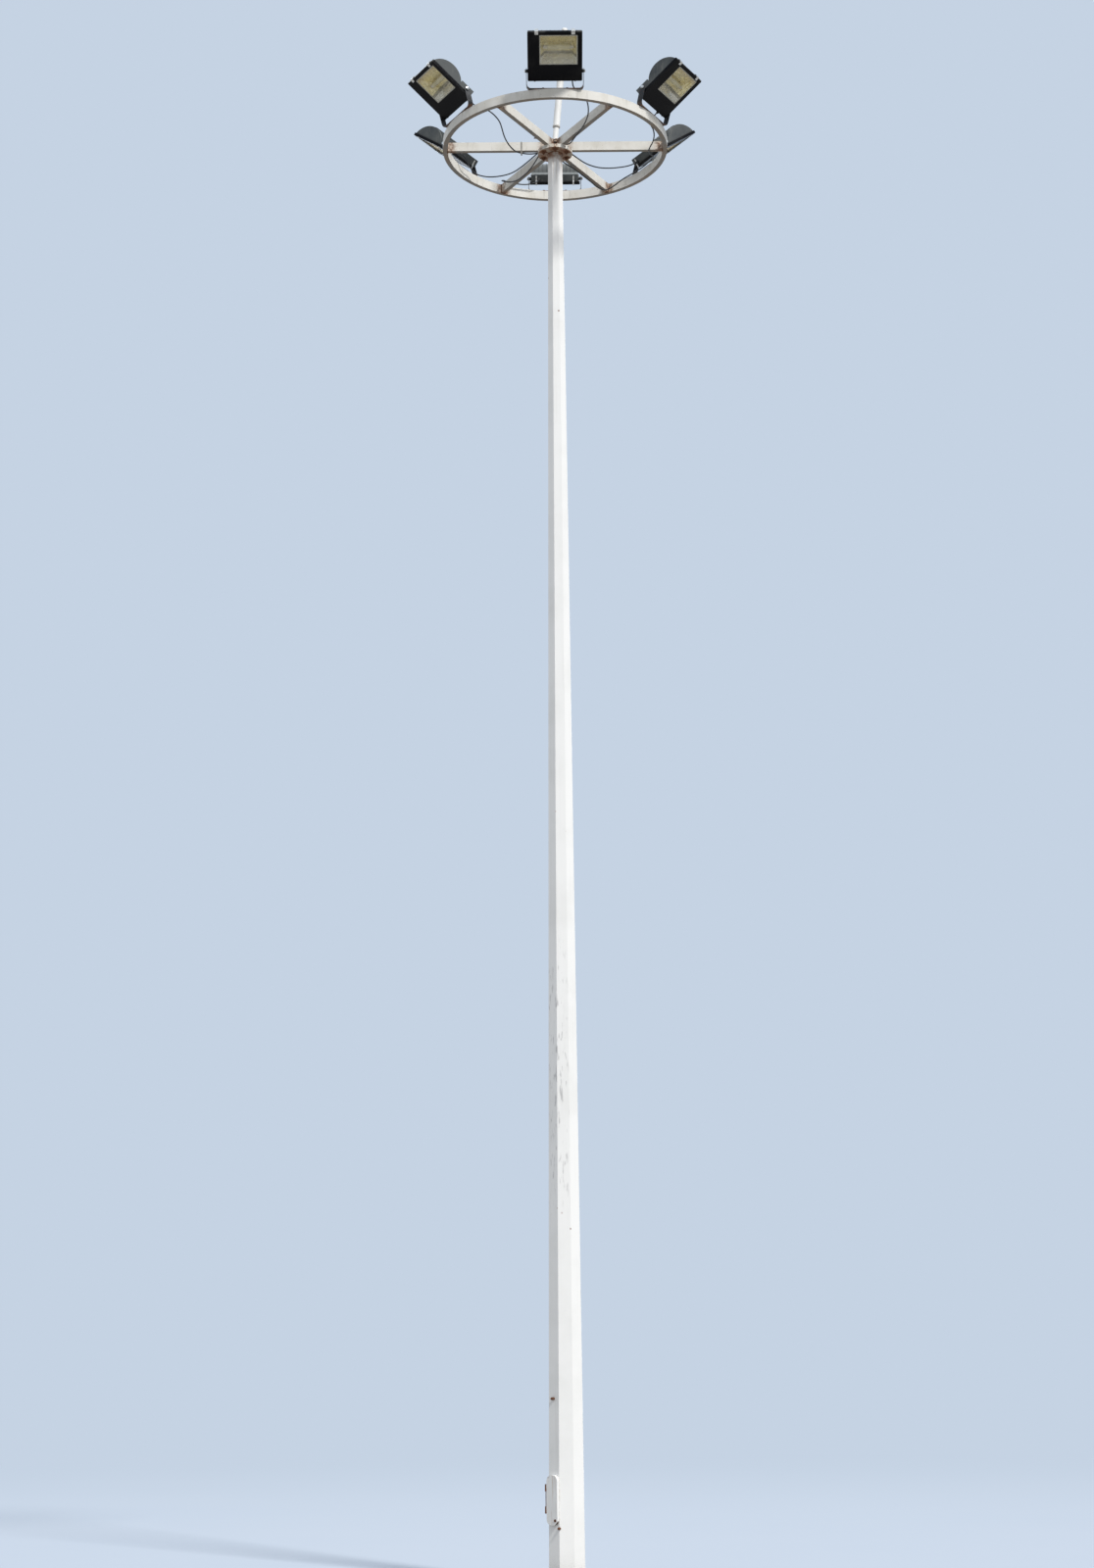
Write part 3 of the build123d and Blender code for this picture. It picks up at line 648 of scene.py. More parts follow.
def makeHeadPaint():
    # Cream paint of the ring and spokes, with rust at their welded ends and stains along the underside, where
    # faces that look down also get painted shade.
    plan = headFinish
    material, tree, shader = startMaterial("ringPaint")
    place = objectPlace(tree)
    distance = axisDistance(tree, place)
    colour = wear(tree, place, paint["cream"], paint["creamWorn"], plan["worn"])
    colour = wear(tree, place, colour, paint["grime"], plan["streaks"])
    under = facingMask(tree, underside)
    stained = noiseMask(tree, place, plan["stained"])
    # Painted shade: faces that look down are darkened almost to black.
    colour = cover(tree, colour, paint["soffitShade"], plan["soffit"], under)
    colour = cover(tree, colour, paint["rustStain"], plan["stained"]["amount"], under, stained)
    turned = calculate(tree, "ABSOLUTE", foldedAngle(tree, place, headPlan["firstSpoke"]))
    besideSpoke = rangeMask(tree, multiply(tree, turned, distance), plan["besideSpoke"])
    ringFace = rangeMask(tree, distance, plan["ringFace"], datum=ringInner)
    insideRing = rangeMask(tree, distance, plan["insideRing"], datum=ringInner)
    roundHub = rangeMask(tree, distance, plan["roundHub"])
    ends = strongest(tree, multiply(tree, besideSpoke, insideRing, ringFace), roundHub)
    ragged = noiseMask(tree, place, plan["ragged"])
    colour = cover(tree, colour, paint["rustStain"], plan["endStain"], ends)
    colour = cover(tree, colour, rustColour(tree, place), plan["endRust"], ends, ragged)
    colour = wear(tree, place, colour, paint["rustMiddle"], plan["pits"])
    finishShader(tree, shader, colour, strongest(tree, ragged, stained), plan["roughness"])
    coat = multiply(tree, grain(tree, place, plan["grain"]), plan["grainDepth"])
    setBump(tree, shader, [coat, multiply(tree, ends, ragged)], plan["bump"])
    return material


def fromFlangeBolt(tree, place):
    # How far a point is on plan from the nearest bolt of the head flanges, along and across its bearing.
    distance = axisDistance(tree, place)
    folded = foldedAngle(tree, place, firstLamp)
    along = multiply(tree, distance, calculate(tree, "COSINE", folded))
    across = multiply(tree, distance, calculate(tree, "SINE", folded))
    return calculate(tree, "SUBTRACT", along, headPlan["boltCircle"]), across


def fromAnchorBolt(tree, place):
    parts = splitPlace(tree, place)
    sides = [calculate(tree, "ABSOLUTE", parts[axis]) for axis in ("X", "Y")]
    return [calculate(tree, "SUBTRACT", side, anchorPlan["spacing"] / 2) for side in sides]


plateFinish = {
    "worn": {"scale": 12, "cut": (0.4, 0.7), "amount": 1.0},
    "ragged": {"scale": 38, "cut": (0.36, 0.60), "detail": 7.0},
    "halo": (0.055, 0.020),
    "haloStain": 0.8,
    "core": (0.028, 0.015),
    "coreRagged": 0.020,
    "patches": {"scale": 15, "cut": (0.44, 0.58), "detail": 6.0, "amount": 0.8},
    "spots": {"scale": 26, "cut": (0.56, 0.68), "detail": 6.0, "amount": 0.7},
    "roughness": (0.5, 0.85),
    "bump": 0.001,
}


def makePlatePaint(name, fromBolt, underStain):
    # Paint that has given way to rust round each bolt.
    plan = plateFinish
    material, tree, shader = startMaterial(name)
    place = objectPlace(tree)
    along, across = fromBolt(tree, place)
    square = calculate(tree, "ADD", multiply(tree, along, along), multiply(tree, across, across))
    distance = calculate(tree, "SQRT", square)
    ragged = noiseMask(tree, place, plan["ragged"])
    under = facingMask(tree, underside)
    colour = wear(tree, place, paint["cream"], paint["creamWorn"], plan["worn"])
    colour = cover(tree, colour, paint["flangeBrown"], underStain, under)
    halo = rangeMask(tree, distance, plan["halo"])
    colour = cover(tree, colour, paint["rustStain"], plan["haloStain"], halo)
    edge = calculate(tree, "SUBTRACT", distance, multiply(tree, ragged, plan["coreRagged"]))
    core = rangeMask(tree, edge, plan["core"])
    colour = mixColour(tree, core, colour, rustColour(tree, place))
    colour = wear(tree, place, colour, paint["rustMiddle"], plan["patches"], under)
    colour = wear(tree, place, colour, paint["rustMiddle"], plan["spots"])
    finishShader(tree, shader, colour, core, plan["roughness"])
    setBump(tree, shader, [ragged], plan["bump"])
    return material


doorFinish = {
    "worn": {"scale": 6, "cut": (0.40, 0.70), "amount": 0.5},
    "drips": {"stretch": (60, 60, 4), "cut": (0.56, 0.74), "amount": 0.4},
    "hingeEdge": (-0.0575, -0.0592),
    "leftEdge": (-0.018, -0.040),
    "topEdge": (0.802, 0.826),
    "ragged": {"scale": 60, "cut": (0.40, 0.56), "detail": 6.0},
    "facingDown": (-0.2, -0.5),
    # Amount of dark colour on edges that face down: partly rust, partly painted shade.
    "underRustAndShade": 0.97,
    "roughness": (0.38, 0.56),
    "grain": 240,
    "grainDepth": 0.5,
    "dripDepth": -0.4,
    "bump": 0.0006,
}


def makeDoorPaint():
    # Mast paint with rust by the hinges and at the upper corner beside them; the edges that face down are
    # dark with rust and painted shade.
    plan = doorFinish
    material, tree, shader = startMaterial("doorPaint")
    place = objectPlace(tree)
    parts = splitPlace(tree, place)
    worn = noiseMask(tree, place, plan["worn"])
    drips = noiseMask(tree, place, plan["drips"])
    colour = cover(tree, paint["white"], paint["whiteWorn"], plan["worn"]["amount"], worn)
    colour = cover(tree, colour, paint["rustStain"], plan["drips"]["amount"], drips)
    hinge = rangeMask(tree, parts["X"], plan["hingeEdge"])
    corner = multiply(
        tree,
        rangeMask(tree, parts["X"], plan["leftEdge"]),
        rangeMask(tree, parts["Z"], plan["topEdge"]),
        noiseMask(tree, place, plan["ragged"]),
    )
    colour = mixColour(tree, strongest(tree, hinge, corner), colour, rustColour(tree, place))
    # Edges that face down are darkened: partly rust, partly painted shade.
    under = facingMask(tree, plan["facingDown"])
    colour = cover(tree, colour, paint["rustDark"], plan["underRustAndShade"], under)
    finishShader(tree, shader, colour, worn, plan["roughness"])
    coat = multiply(tree, grain(tree, place, plan["grain"]), plan["grainDepth"])
    setBump(tree, shader, [coat, multiply(tree, drips, plan["dripDepth"])], plan["bump"])
    return material


rustFinish = {
    "patches": {"scale": 90, "cut": (0.36, 0.64), "detail": 7.0},
    "flecks": {"scale": 260, "cut": (0.58, 0.70)},
    "fleckDepth": 0.5,
    "roughness": 0.88,
    "bump": 0.0012,
}


def makeRust(name, fleckAmount):
    plan = rustFinish
    material, tree, shader = startMaterial(name, plan["roughness"])
    place = objectPlace(tree)
    patches, flecks = (noiseMask(tree, place, plan[key]) for key in ("patches", "flecks"))
    colour = mixColour(tree, patches, paint["rustDark"], paint["rustMiddle"])
    finishShader(tree, shader, cover(tree, colour, paint["rustStain"], fleckAmount, flecks))
    setBump(tree, shader, [patches, multiply(tree, flecks, plan["fleckDepth"])], plan["bump"])
    return material


zincFinish = {
    "metallic": 0.85,
    "bright": (0.80, 0.80, 0.78),
    "dull": (0.50, 0.50, 0.48),
    "dulled": {"scale": 45, "cut": (0.42, 0.70), "detail": 5.0},
    "rust": {"scale": 80, "cut": (0.63, 0.72), "amount": 0.6},
    "roughness": (0.24, 0.5),
    "bump": 0.0003,
}


def makeZinc():
    # Bright plated steel with dull spots, for clips and the bolts of the lamps.
    plan = zincFinish
    material, tree, shader = startMaterial("brightZinc", metallic=plan["metallic"])
    place = objectPlace(tree)
    dulled = noiseMask(tree, place, plan["dulled"])
    colour = mixColour(tree, dulled, plan["bright"], plan["dull"])
    colour = wear(tree, place, colour, paint["rustMiddle"], plan["rust"])
    finishShader(tree, shader, colour, dulled, plan["roughness"])
    setBump(tree, shader, [dulled], plan["bump"])
    return material


yokeFinish = {
    "metallic": 0.2,
    "black": (0.018, 0.019, 0.021),
    "chalky": (0.14, 0.145, 0.148),
    "chalk": {"scale": 7, "cut": (0.36, 0.66), "detail": 5.0, "amount": 0.6},
    "foot": (0.035, 0.0),
    "footRust": 0.8,
    "ragged": {"scale": 55, "cut": (0.42, 0.62), "detail": 6.0},
    "raggedDepth": 0.4,
    "pits": {"scale": 120, "cut": (0.62, 0.70), "amount": 0.7},
    "roughness": (0.4, 0.65),
    "bump": 0.0006,
}


def makeYokePaint():
    # Black paint chalked to grey, with rust at the foot.
    plan = yokeFinish
    material, tree, shader = startMaterial("yokePaint", metallic=plan["metallic"])
    place = objectPlace(tree)
    parts = splitPlace(tree, place)
    chalk, ragged, pits = (noiseMask(tree, place, plan[key]) for key in ("chalk", "ragged", "pits"))
    colour = cover(tree, plan["black"], plan["chalky"], plan["chalk"]["amount"], chalk)
    foot = rangeMask(tree, parts["Z"], plan["foot"], datum=ringTop)
    colour = cover(tree, colour, paint["rustMiddle"], plan["footRust"], foot, ragged)
    colour = cover(tree, colour, paint["rustMiddle"], plan["pits"]["amount"], pits)
    finishShader(tree, shader, colour, chalk, plan["roughness"])
    setBump(tree, shader, [multiply(tree, ragged, plan["raggedDepth"]), pits], plan["bump"])
    return material


frameFinish = {
    "specular": 0.1,
    "black": (0.0035, 0.0035, 0.005),
    "dusty": (0.036, 0.035, 0.032),
    "dust": {"scale": 8, "cut": (0.46, 0.78), "detail": 6.0, "amount": 0.3},
    "washed": (0.12, 0.11, 0.10),
    "runs": {"stretch": (45, 5, 45), "cut": (0.60, 0.78), "amount": 0.14},
    "rimColour": (0.2, 0.2, 0.19),
    "rim": (-0.012, 0.0),
    "rimDust": 0.5,
    "roughness": (0.3, 0.58),
    "grain": 320,
    "bump": 0.0003,
}


def makeFramePaint(number):
    plan = frameFinish
    material, tree, shader = startMaterial(f"framePaint{number}")
    shader.inputs["Specular IOR Level"].default_value = plan["specular"]
    place = objectPlace(tree, number)
    parts = splitPlace(tree, place)
    dust, runs = (noiseMask(tree, place, plan[key]) for key in ("dust", "runs"))
    colour = cover(tree, plan["black"], plan["dusty"], plan["dust"]["amount"], dust)
    colour = cover(tree, colour, plan["washed"], plan["runs"]["amount"], runs)
    rim = rangeMask(tree, parts["Y"], plan["rim"], datum=faceTop)
    colour = cover(tree, colour, plan["rimColour"], plan["rimDust"], rim, dust)
    finishShader(tree, shader, colour, strongest(tree, dust, runs), plan["roughness"])
    setBump(tree, shader, [grain(tree, place, plan["grain"])], plan["bump"])
    return material


housingFinish = {
    "slate": (0.034, 0.040, 0.042),
    "chalky": (0.092, 0.100, 0.098),
    "chalk": {"scale": 5, "cut": (0.34, 0.66), "detail": 6.0, "shift": (1.7, 0, 0)},
    # Lighter colour for faces that look up: partly chalking, partly painted sunlight.
    "chalkedAndSunlit": (0.225, 0.24, 0.235),
    "facingUp": (0.1, 0.9),
    "bleach": 0.65,
    "washed": (0.30, 0.29, 0.25),
    "runs": {"stretch": (40, 40, 5), "cut": (0.55, 0.75), "amount": 0.2},
    "seamColour": (0.03, 0.03, 0.03),
    "seam": (0.0, 0.019),
    "seamDirt": 0.6,
    "roughness": (0.5, 0.74),
    "grain": 150,
    "grainDetail": 3.0,
    "bump": 0.0004,
}


def makeHousingPaint(number):
    # Dark slate coat that has chalked to olive grey. Faces that look up are lighter still, partly from
    # chalking and partly as painted sunlight.
    plan = housingFinish
    material, tree, shader = startMaterial(f"housingPaint{number}")
    world = objectPlace(tree)
    place = objectPlace(tree, number)
    parts = splitPlace(tree, place)
    chalk = noiseMask(tree, place, plan["chalk"], number)
    colour = mixColour(tree, chalk, plan["slate"], plan["chalky"])
    # Faces that look up are lightened: partly chalking, partly painted sunlight.
    colour = cover(tree, colour, plan["chalkedAndSunlit"], plan["bleach"], facingMask(tree, plan["facingUp"]))
    colour = wear(tree, world, colour, plan["washed"], plan["runs"])
    seam = rangeMask(tree, parts["Z"], plan["seam"])
    colour = cover(tree, colour, plan["seamColour"], plan["seamDirt"], seam)
    finishShader(tree, shader, colour, chalk, plan["roughness"])
    setBump(tree, shader, [grain(tree, place, plan["grain"], plan["grainDetail"])], plan["bump"])
    return material


reflectorFinish = {
    "metallic": 0.5,
    "pale": (0.95, 0.94, 0.86),
    "yellowed": (0.96, 0.86, 0.50),
    "bowl": (0.135, 0.160),
    "mouthColour": (0.80, 0.67, 0.52),
    "mouth": (0.27, 0.33),
    "mouthStain": 0.6,
    # Painted shade: dark colour for the band just above the bend.
    "creaseShadeColour": (0.20, 0.18, 0.11),
    "creaseFrom": (0.122, 0.130),
    "creaseTo": (0.158, 0.146),
    "creaseShade": 0.75,
    "stainColour": (0.50, 0.46, 0.32),
    "stain": {"scale": 13, "cut": (0.42, 0.68), "detail": 5.0, "shift": (0, 2.3, 0), "amount": 0.3},
    "hammerCells": 95.0,
    "hammerStretch": (1.0, 0.45, 0.45),
    "roughness": (0.22, 0.4),
    "bump": 0.006,
}


def makeReflectorSheet(number):
    # Hammered sheet, yellowed in the bowl and paler on the flat lower sheet, with painted shade in the crease
    # between.
    plan = reflectorFinish
    material, tree, shader = startMaterial(f"reflectorSheet{number}", metallic=plan["metallic"])
    place = objectPlace(tree, number)
    parts = splitPlace(tree, place)
    bowl = rangeMask(tree, parts["Y"], plan["bowl"])
    colour = mixColour(tree, bowl, plan["pale"], plan["yellowed"])
    mouth = rangeMask(tree, parts["Y"], plan["mouth"])
    colour = cover(tree, colour, plan["mouthColour"], plan["mouthStain"], mouth)
    # Painted shade: a dark band on the bowl just above its bend down to the lower sheet.
    crease = [rangeMask(tree, parts["Y"], plan[end]) for end in ("creaseFrom", "creaseTo")]
    colour = cover(tree, colour, plan["creaseShadeColour"], plan["creaseShade"], *crease)
    stain = noiseMask(tree, place, plan["stain"], number)
    colour = cover(tree, colour, plan["stainColour"], plan["stain"]["amount"], stain)
    drawn = addNode(tree, "ShaderNodeMapping", {"Vector": place, "Scale": plan["hammerStretch"]})
    cellInputs = {"Vector": drawn.outputs[0], "Scale": plan["hammerCells"]}
    cells = addNode(tree, "ShaderNodeTexVoronoi", cellInputs, feature="SMOOTH_F1")
    finishShader(tree, shader, colour, stain, plan["roughness"])
    setBump(tree, shader, [multiply(tree, cells.outputs["Distance"], bowl)], plan["bump"])
    return material


glassFinish = {
    "film": {"scale": 9, "cut": (0.35, 0.75), "detail": 5.0, "shift": (1, 0, 0)},
    "thinFilm": (0.66, 0.66, 0.60),
    "thickFilm": (0.80, 0.79, 0.72),
    "lowerEdge": (0.17, 0.08),
    "clear": 0.03,
    "filmAlpha": 0.05,
    "edgeAlpha": 0.06,
    "roughness": (0.05, 0.16),
}


def makeWindowGlass(number):
    # Clear pane under a film of dust that thickens towards its lower edge.
    plan = glassFinish
    material, tree, shader = startMaterial(f"windowGlass{number}")
    place = objectPlace(tree, number)
    parts = splitPlace(tree, place)
    film = noiseMask(tree, place, plan["film"], number)
    low = rangeMask(tree, parts["Y"], plan["lowerEdge"])
    layers = [multiply(tree, film, plan["filmAlpha"]), multiply(tree, low, plan["edgeAlpha"]), plan["clear"]]
    tree.links.new(combine(tree, "ADD", layers), shader.inputs["Alpha"])
    colour = mixColour(tree, film, plan["thinFilm"], plan["thickFilm"])
    finishShader(tree, shader, colour, film, plan["roughness"])
    material.surface_render_method = "BLENDED"
    return material


envelopeFinish = {
    "yellow": (0.62, 0.57, 0.36),
    "stained": (0.42, 0.38, 0.24),
    "film": {"scale": 30, "cut": (0.4, 0.7), "amount": 0.4},
    "holder": (0.60, 0.57, 0.47),
    "middle": 0.03,
    "ends": (0.085, 0.10),
    "roughness": (0.1, 0.6),
}


def makeEnvelope(number):
    # Lamp envelope with a pale holder at each end.
    plan = envelopeFinish
    material, tree, shader = startMaterial(f"lampEnvelope{number}")
    place = objectPlace(tree, number)
    ends = rangeMask(tree, fromLevel(tree, splitPlace(tree, place)["X"], plan["middle"]), plan["ends"])
    colour = wear(tree, place, plan["yellow"], plan["stained"], plan["film"])
    colour = mixColour(tree, ends, colour, plan["holder"])
    finishShader(tree, shader, colour, ends, plan["roughness"])
    return material


cableFinish = {
    "black": (0.008, 0.009, 0.013),
    "dusty": (0.05, 0.05, 0.05),
    "dust": {"scale": 30, "cut": (0.44, 0.74), "detail": 5.0, "amount": 0.25},
    "roughness": (0.45, 0.75),
    "grain": 400,
    "grainDetail": 4.0,
    "bump": 0.0002,
}


def makeCableSheath():
    plan = cableFinish
    material, tree, shader = startMaterial("cableSheath")
    place = objectPlace(tree)
    dust = noiseMask(tree, place, plan["dust"])
    colour = cover(tree, plan["black"], plan["dusty"], plan["dust"]["amount"], dust)
    finishShader(tree, shader, colour, dust, plan["roughness"])
    setBump(tree, shader, [grain(tree, place, plan["grain"], plan["grainDetail"])], plan["bump"])
    return material


rodFinish = {
    "worn": {"scale": 4, "cut": (0.42, 0.70), "amount": 0.5},
    "foot": (0.035, 0.004),
    "blotches": {"scale": 40, "cut": (0.36, 0.56), "detail": 6.0, "amount": 0.9},
    "jointUp": 0.14,
    "jointBand": (0.018, 0.004),
    "jointDirt": 0.7,
    "roughness": (0.4, 0.6),
    "grain": 240,
    "grainDepth": 0.5,
    "bump": 0.0003,
}


def makeRodPaint():
    # White paint, rusty at the foot, with dirt where the rod's two tubes meet.
    plan = rodFinish
    material, tree, shader = startMaterial("rodPaint")
    place = objectPlace(tree)
    parts = splitPlace(tree, place)
    worn = noiseMask(tree, place, plan["worn"])
    colour = cover(tree, paint["white"], paint["creamWorn"], plan["worn"]["amount"], worn)
    foot = rangeMask(tree, parts["Z"], plan["foot"], datum=ringTop)
    colour = wear(tree, place, colour, rustColour(tree, place), plan["blotches"], foot)
    gap = fromLevel(tree, parts["Z"], rodFootTop + plan["jointUp"])
    dirt = rangeMask(tree, gap, plan["jointBand"])
    colour = cover(tree, colour, paint["grime"], plan["jointDirt"], dirt)
    finishShader(tree, shader, colour, worn, plan["roughness"])
    coat = multiply(tree, grain(tree, place, plan["grain"]), plan["grainDepth"])
    setBump(tree, shader, [coat], plan["bump"])
    return material


# Small parts with one plain colour that wears to another: strap, gasket, glands and painted welds.
plainFinishes = {
    "strap": {
        "name": "strapPlastic",
        "fresh": (0.20, 0.195, 0.18),
        "worn": (0.42, 0.40, 0.36),
        "roughness": 0.6,
        "scale": 60.0,
    },
    "gasket": {
        "name": "gasketSilicone",
        "fresh": (0.50, 0.49, 0.43),
        "worn": (0.34, 0.33, 0.27),
        "roughness": 0.55,
        "scale": 60.0,
    },
    "gland": {
        "name": "glandPlastic",
        "fresh": (0.02, 0.02, 0.021),
        "worn": (0.07, 0.07, 0.068),
        "roughness": 0.5,
        "scale": 60.0,
    },
    "paintedWeld": {
        "name": "paintedWeld",
        "fresh": (0.82, 0.82, 0.80),
        "worn": (0.60, 0.55, 0.47),
        "roughness": 0.55,
        "scale": 24.0,
    },
}
plainGrain = {"finer": 6, "detail": 4.0, "bump": 0.0003}


def makePlain(plan):
    material, tree, shader = startMaterial(plan["name"], plan["roughness"])
    place = objectPlace(tree)
    worn = noiseMask(tree, place, {"scale": plan["scale"], "cut": (0.42, 0.72), "detail": 5.0})
    finishShader(tree, shader, mixColour(tree, worn, plan["fresh"], plan["worn"]))
    fine = grain(tree, place, plan["scale"] * plainGrain["finer"], plainGrain["detail"])
    setBump(tree, shader, [fine], plainGrain["bump"])
    return material


finishes = {
    "mast": makeMastPaint(),
    "ring": makeHeadPaint(),
    "flange": makePlatePaint("flangePaint", fromFlangeBolt, underStain=0.8),
    "plate": makePlatePaint("platePaint", fromAnchorBolt, underStain=0.3),
    "door": makeDoorPaint(),
    "rust": makeRust("rustyBolt", fleckAmount=0.6),
    "weld": makeRust("rustyWeld", fleckAmount=0.9),
    "zinc": makeZinc(),
    "yoke": makeYokePaint(),
    "cable": makeCableSheath(),
    "rod": makeRodPaint(),
}
for finishName, plan in plainFinishes.items():
    finishes[finishName] = makePlain(plan)


def setFinish(piece, material):
    if not piece.material_slots:
        piece.data.materials.append(material)
    for slot in piece.material_slots:
        slot.material = material


nodeFinishes = {
    "mast": ["mast_shaft", "door_section_sides", "door_section_walls"],
    "ring": ["ring", "spokes", "hub_tube"],
    "flange": ["mast_flange", "hub_plate"],
    "plate": ["base_plate"],
    "door": ["door_frame", "access_door"],
    "rust": ["door_hinges", "door_lock", "earth_stud", "side_stud"],
    "yoke": ["lamp_yokes"],
    "strap": ["spoke_strap"],
    "rod": ["rod_foot", "air_terminal"],
}
lampFinishes = {
    "front_frame": makeFramePaint,
    "housing": makeHousingPaint,
    "reflector": makeReflectorSheet,
    "glass": makeWindowGlass,
    "lamp_tube": makeEnvelope,
}
for finishName, names in nodeFinishes.items():
    for name in names:
        setFinish(nodes[name], finishes[finishName])
for number in lampNumbers:
    for name, makeFinish in lampFinishes.items():
        setFinish(nodes[f"lamp_{number}_{name}"], makeFinish(number))
print("finishes set")


# Camera at the place and angle of the photograph.
camera = {
    "bearing": -45.26,
    "distance": 20.426,
    "height": 1.704,
    "heading": 135.05,
    "pitch": 12.72,
    "roll": -0.42,
    "lens": 58.5,
    "sensor": 36.0,
    "clipEnd": 500.0,
}


def addCamera():
    data = bpy.data.cameras.new("camera")
    data.lens = camera["lens"]
    data.sensor_width = camera["sensor"]
    data.clip_end = camera["clipEnd"]
    heading, pitch, roll = (math.radians(camera[key]) for key in ("heading", "pitch", "roll"))
    level = Vector((math.cos(heading), math.sin(heading), 0))
    forward = level * math.cos(pitch) + Vector((0, 0, math.sin(pitch)))
    right = Vector((math.sin(heading), -math.cos(heading), 0))
    up = right.cross(forward)
    rolledRight = right * math.cos(roll) + up * math.sin(roll)
    rolledUp = up * math.cos(roll) - right * math.sin(roll)
    turn = Matrix((rolledRight, rolledUp, -forward)).transposed().to_4x4()
    viewer = bpy.data.objects.new("camera", data)
    bpy.context.scene.collection.objects.link(viewer)
    place = polar(camera["bearing"], camera["distance"], camera["height"])
    viewer.matrix_world = Matrix.Translation(place) @ turn
    bpy.context.scene.camera = viewer


# Studio: a pale floor and backdrop, a soft key from the right, a weak fill from behind and an even sky.
studio = {
    "backdrop": (0.56, 0.65, 0.77),
    "skyLight": (0.52, 0.555, 0.61),
    "floorHalf": 120.0,
    "floorRoughness": 0.9,
    "floorPale": (0.47, 0.53, 0.61),
    "floorDark": (0.35, 0.345, 0.335),
    "cloudColour": (0.7, 0.7, 0.7),
    "cloud": {"scale": 0.25, "cut": (0.3, 0.7), "amount": 0.03},
    "fade": (3.0, 26.0),
    "key": {
        "bearing": -9.0,
        "elevation": 46.0,
        "strength": 2.95,
        "spread": 8.0,
        "colour": (1.0, 0.975, 0.94),
    },
    "fill": {
        "bearing": 150.0,
        "elevation": 35.0,
        "strength": 0.7,
        "spread": 40.0,
        "colour": (0.93, 0.96, 1.0),
    },
}


def addSun(name, plan):
    data = bpy.data.lights.new(name, "SUN")
    data.energy = plan["strength"]
    data.angle = math.radians(plan["spread"])
    data.color = plan["colour"]
    lamp = bpy.data.objects.new(name, data)
    bpy.context.scene.collection.objects.link(lamp)
    rise = math.radians(plan["elevation"])
    towards = outward(plan["bearing"]) * math.cos(rise) + Vector((0, 0, math.sin(rise)))
    lamp.rotation_mode = "QUATERNION"
    lamp.rotation_quaternion = towards.to_track_quat("Z", "Y")


def addStudio():
    world = bpy.data.worlds.new("studio")
    bpy.context.scene.world = world
    world.use_nodes = True
    tree = world.node_tree
    rays = addNode(tree, "ShaderNodeLightPath").outputs
    seen = strongest(tree, rays["Is Camera Ray"], rays["Is Glossy Ray"], rays["Is Transmission Ray"])
    colour = mixColour(tree, seen, studio["skyLight"], studio["backdrop"])
    tree.links.new(colour, tree.nodes["Background"].inputs["Color"])
    floorMesh = bpy.data.meshes.new("floor")
    half = studio["floorHalf"]
    corners = [(-half, -half, 0), (half, -half, 0), (half, half, 0), (-half, half, 0)]
    floorMesh.from_pydata(corners, [], [(0, 1, 2, 3)])
    floor = addObject("floor", floorMesh)
    material, floorTree, shader = startMaterial("floorPaper", studio["floorRoughness"])
    shader.inputs["Specular IOR Level"].default_value = 0.0
    seenFloor = addNode(floorTree, "ShaderNodeLightPath").outputs["Is Camera Ray"]
    place = objectPlace(floorTree)
    pale = wear(floorTree, place, studio["floorPale"], studio["cloudColour"], studio["cloud"])
    # Far from the mast the floor takes the backdrop's own brightness, so no horizon shows.
    far = rangeMask(floorTree, axisDistance(floorTree, place), studio["fade"])
    shown = mixColour(floorTree, far, pale, (0.0, 0.0, 0.0))
    finishShader(floorTree, shader, mixColour(floorTree, seenFloor, studio["floorDark"], shown))
    shader.inputs["Emission Color"].default_value = (*studio["backdrop"], 1.0)
    floorTree.links.new(multiply(floorTree, far, seenFloor), shader.inputs["Emission Strength"])
    floorMesh.materials.append(material)
    addSun("key", studio["key"])
    addSun("fill", studio["fill"])
    bpy.context.scene.view_settings.view_transform = "Standard"


addCamera()
addStudio()
print("camera and studio set")


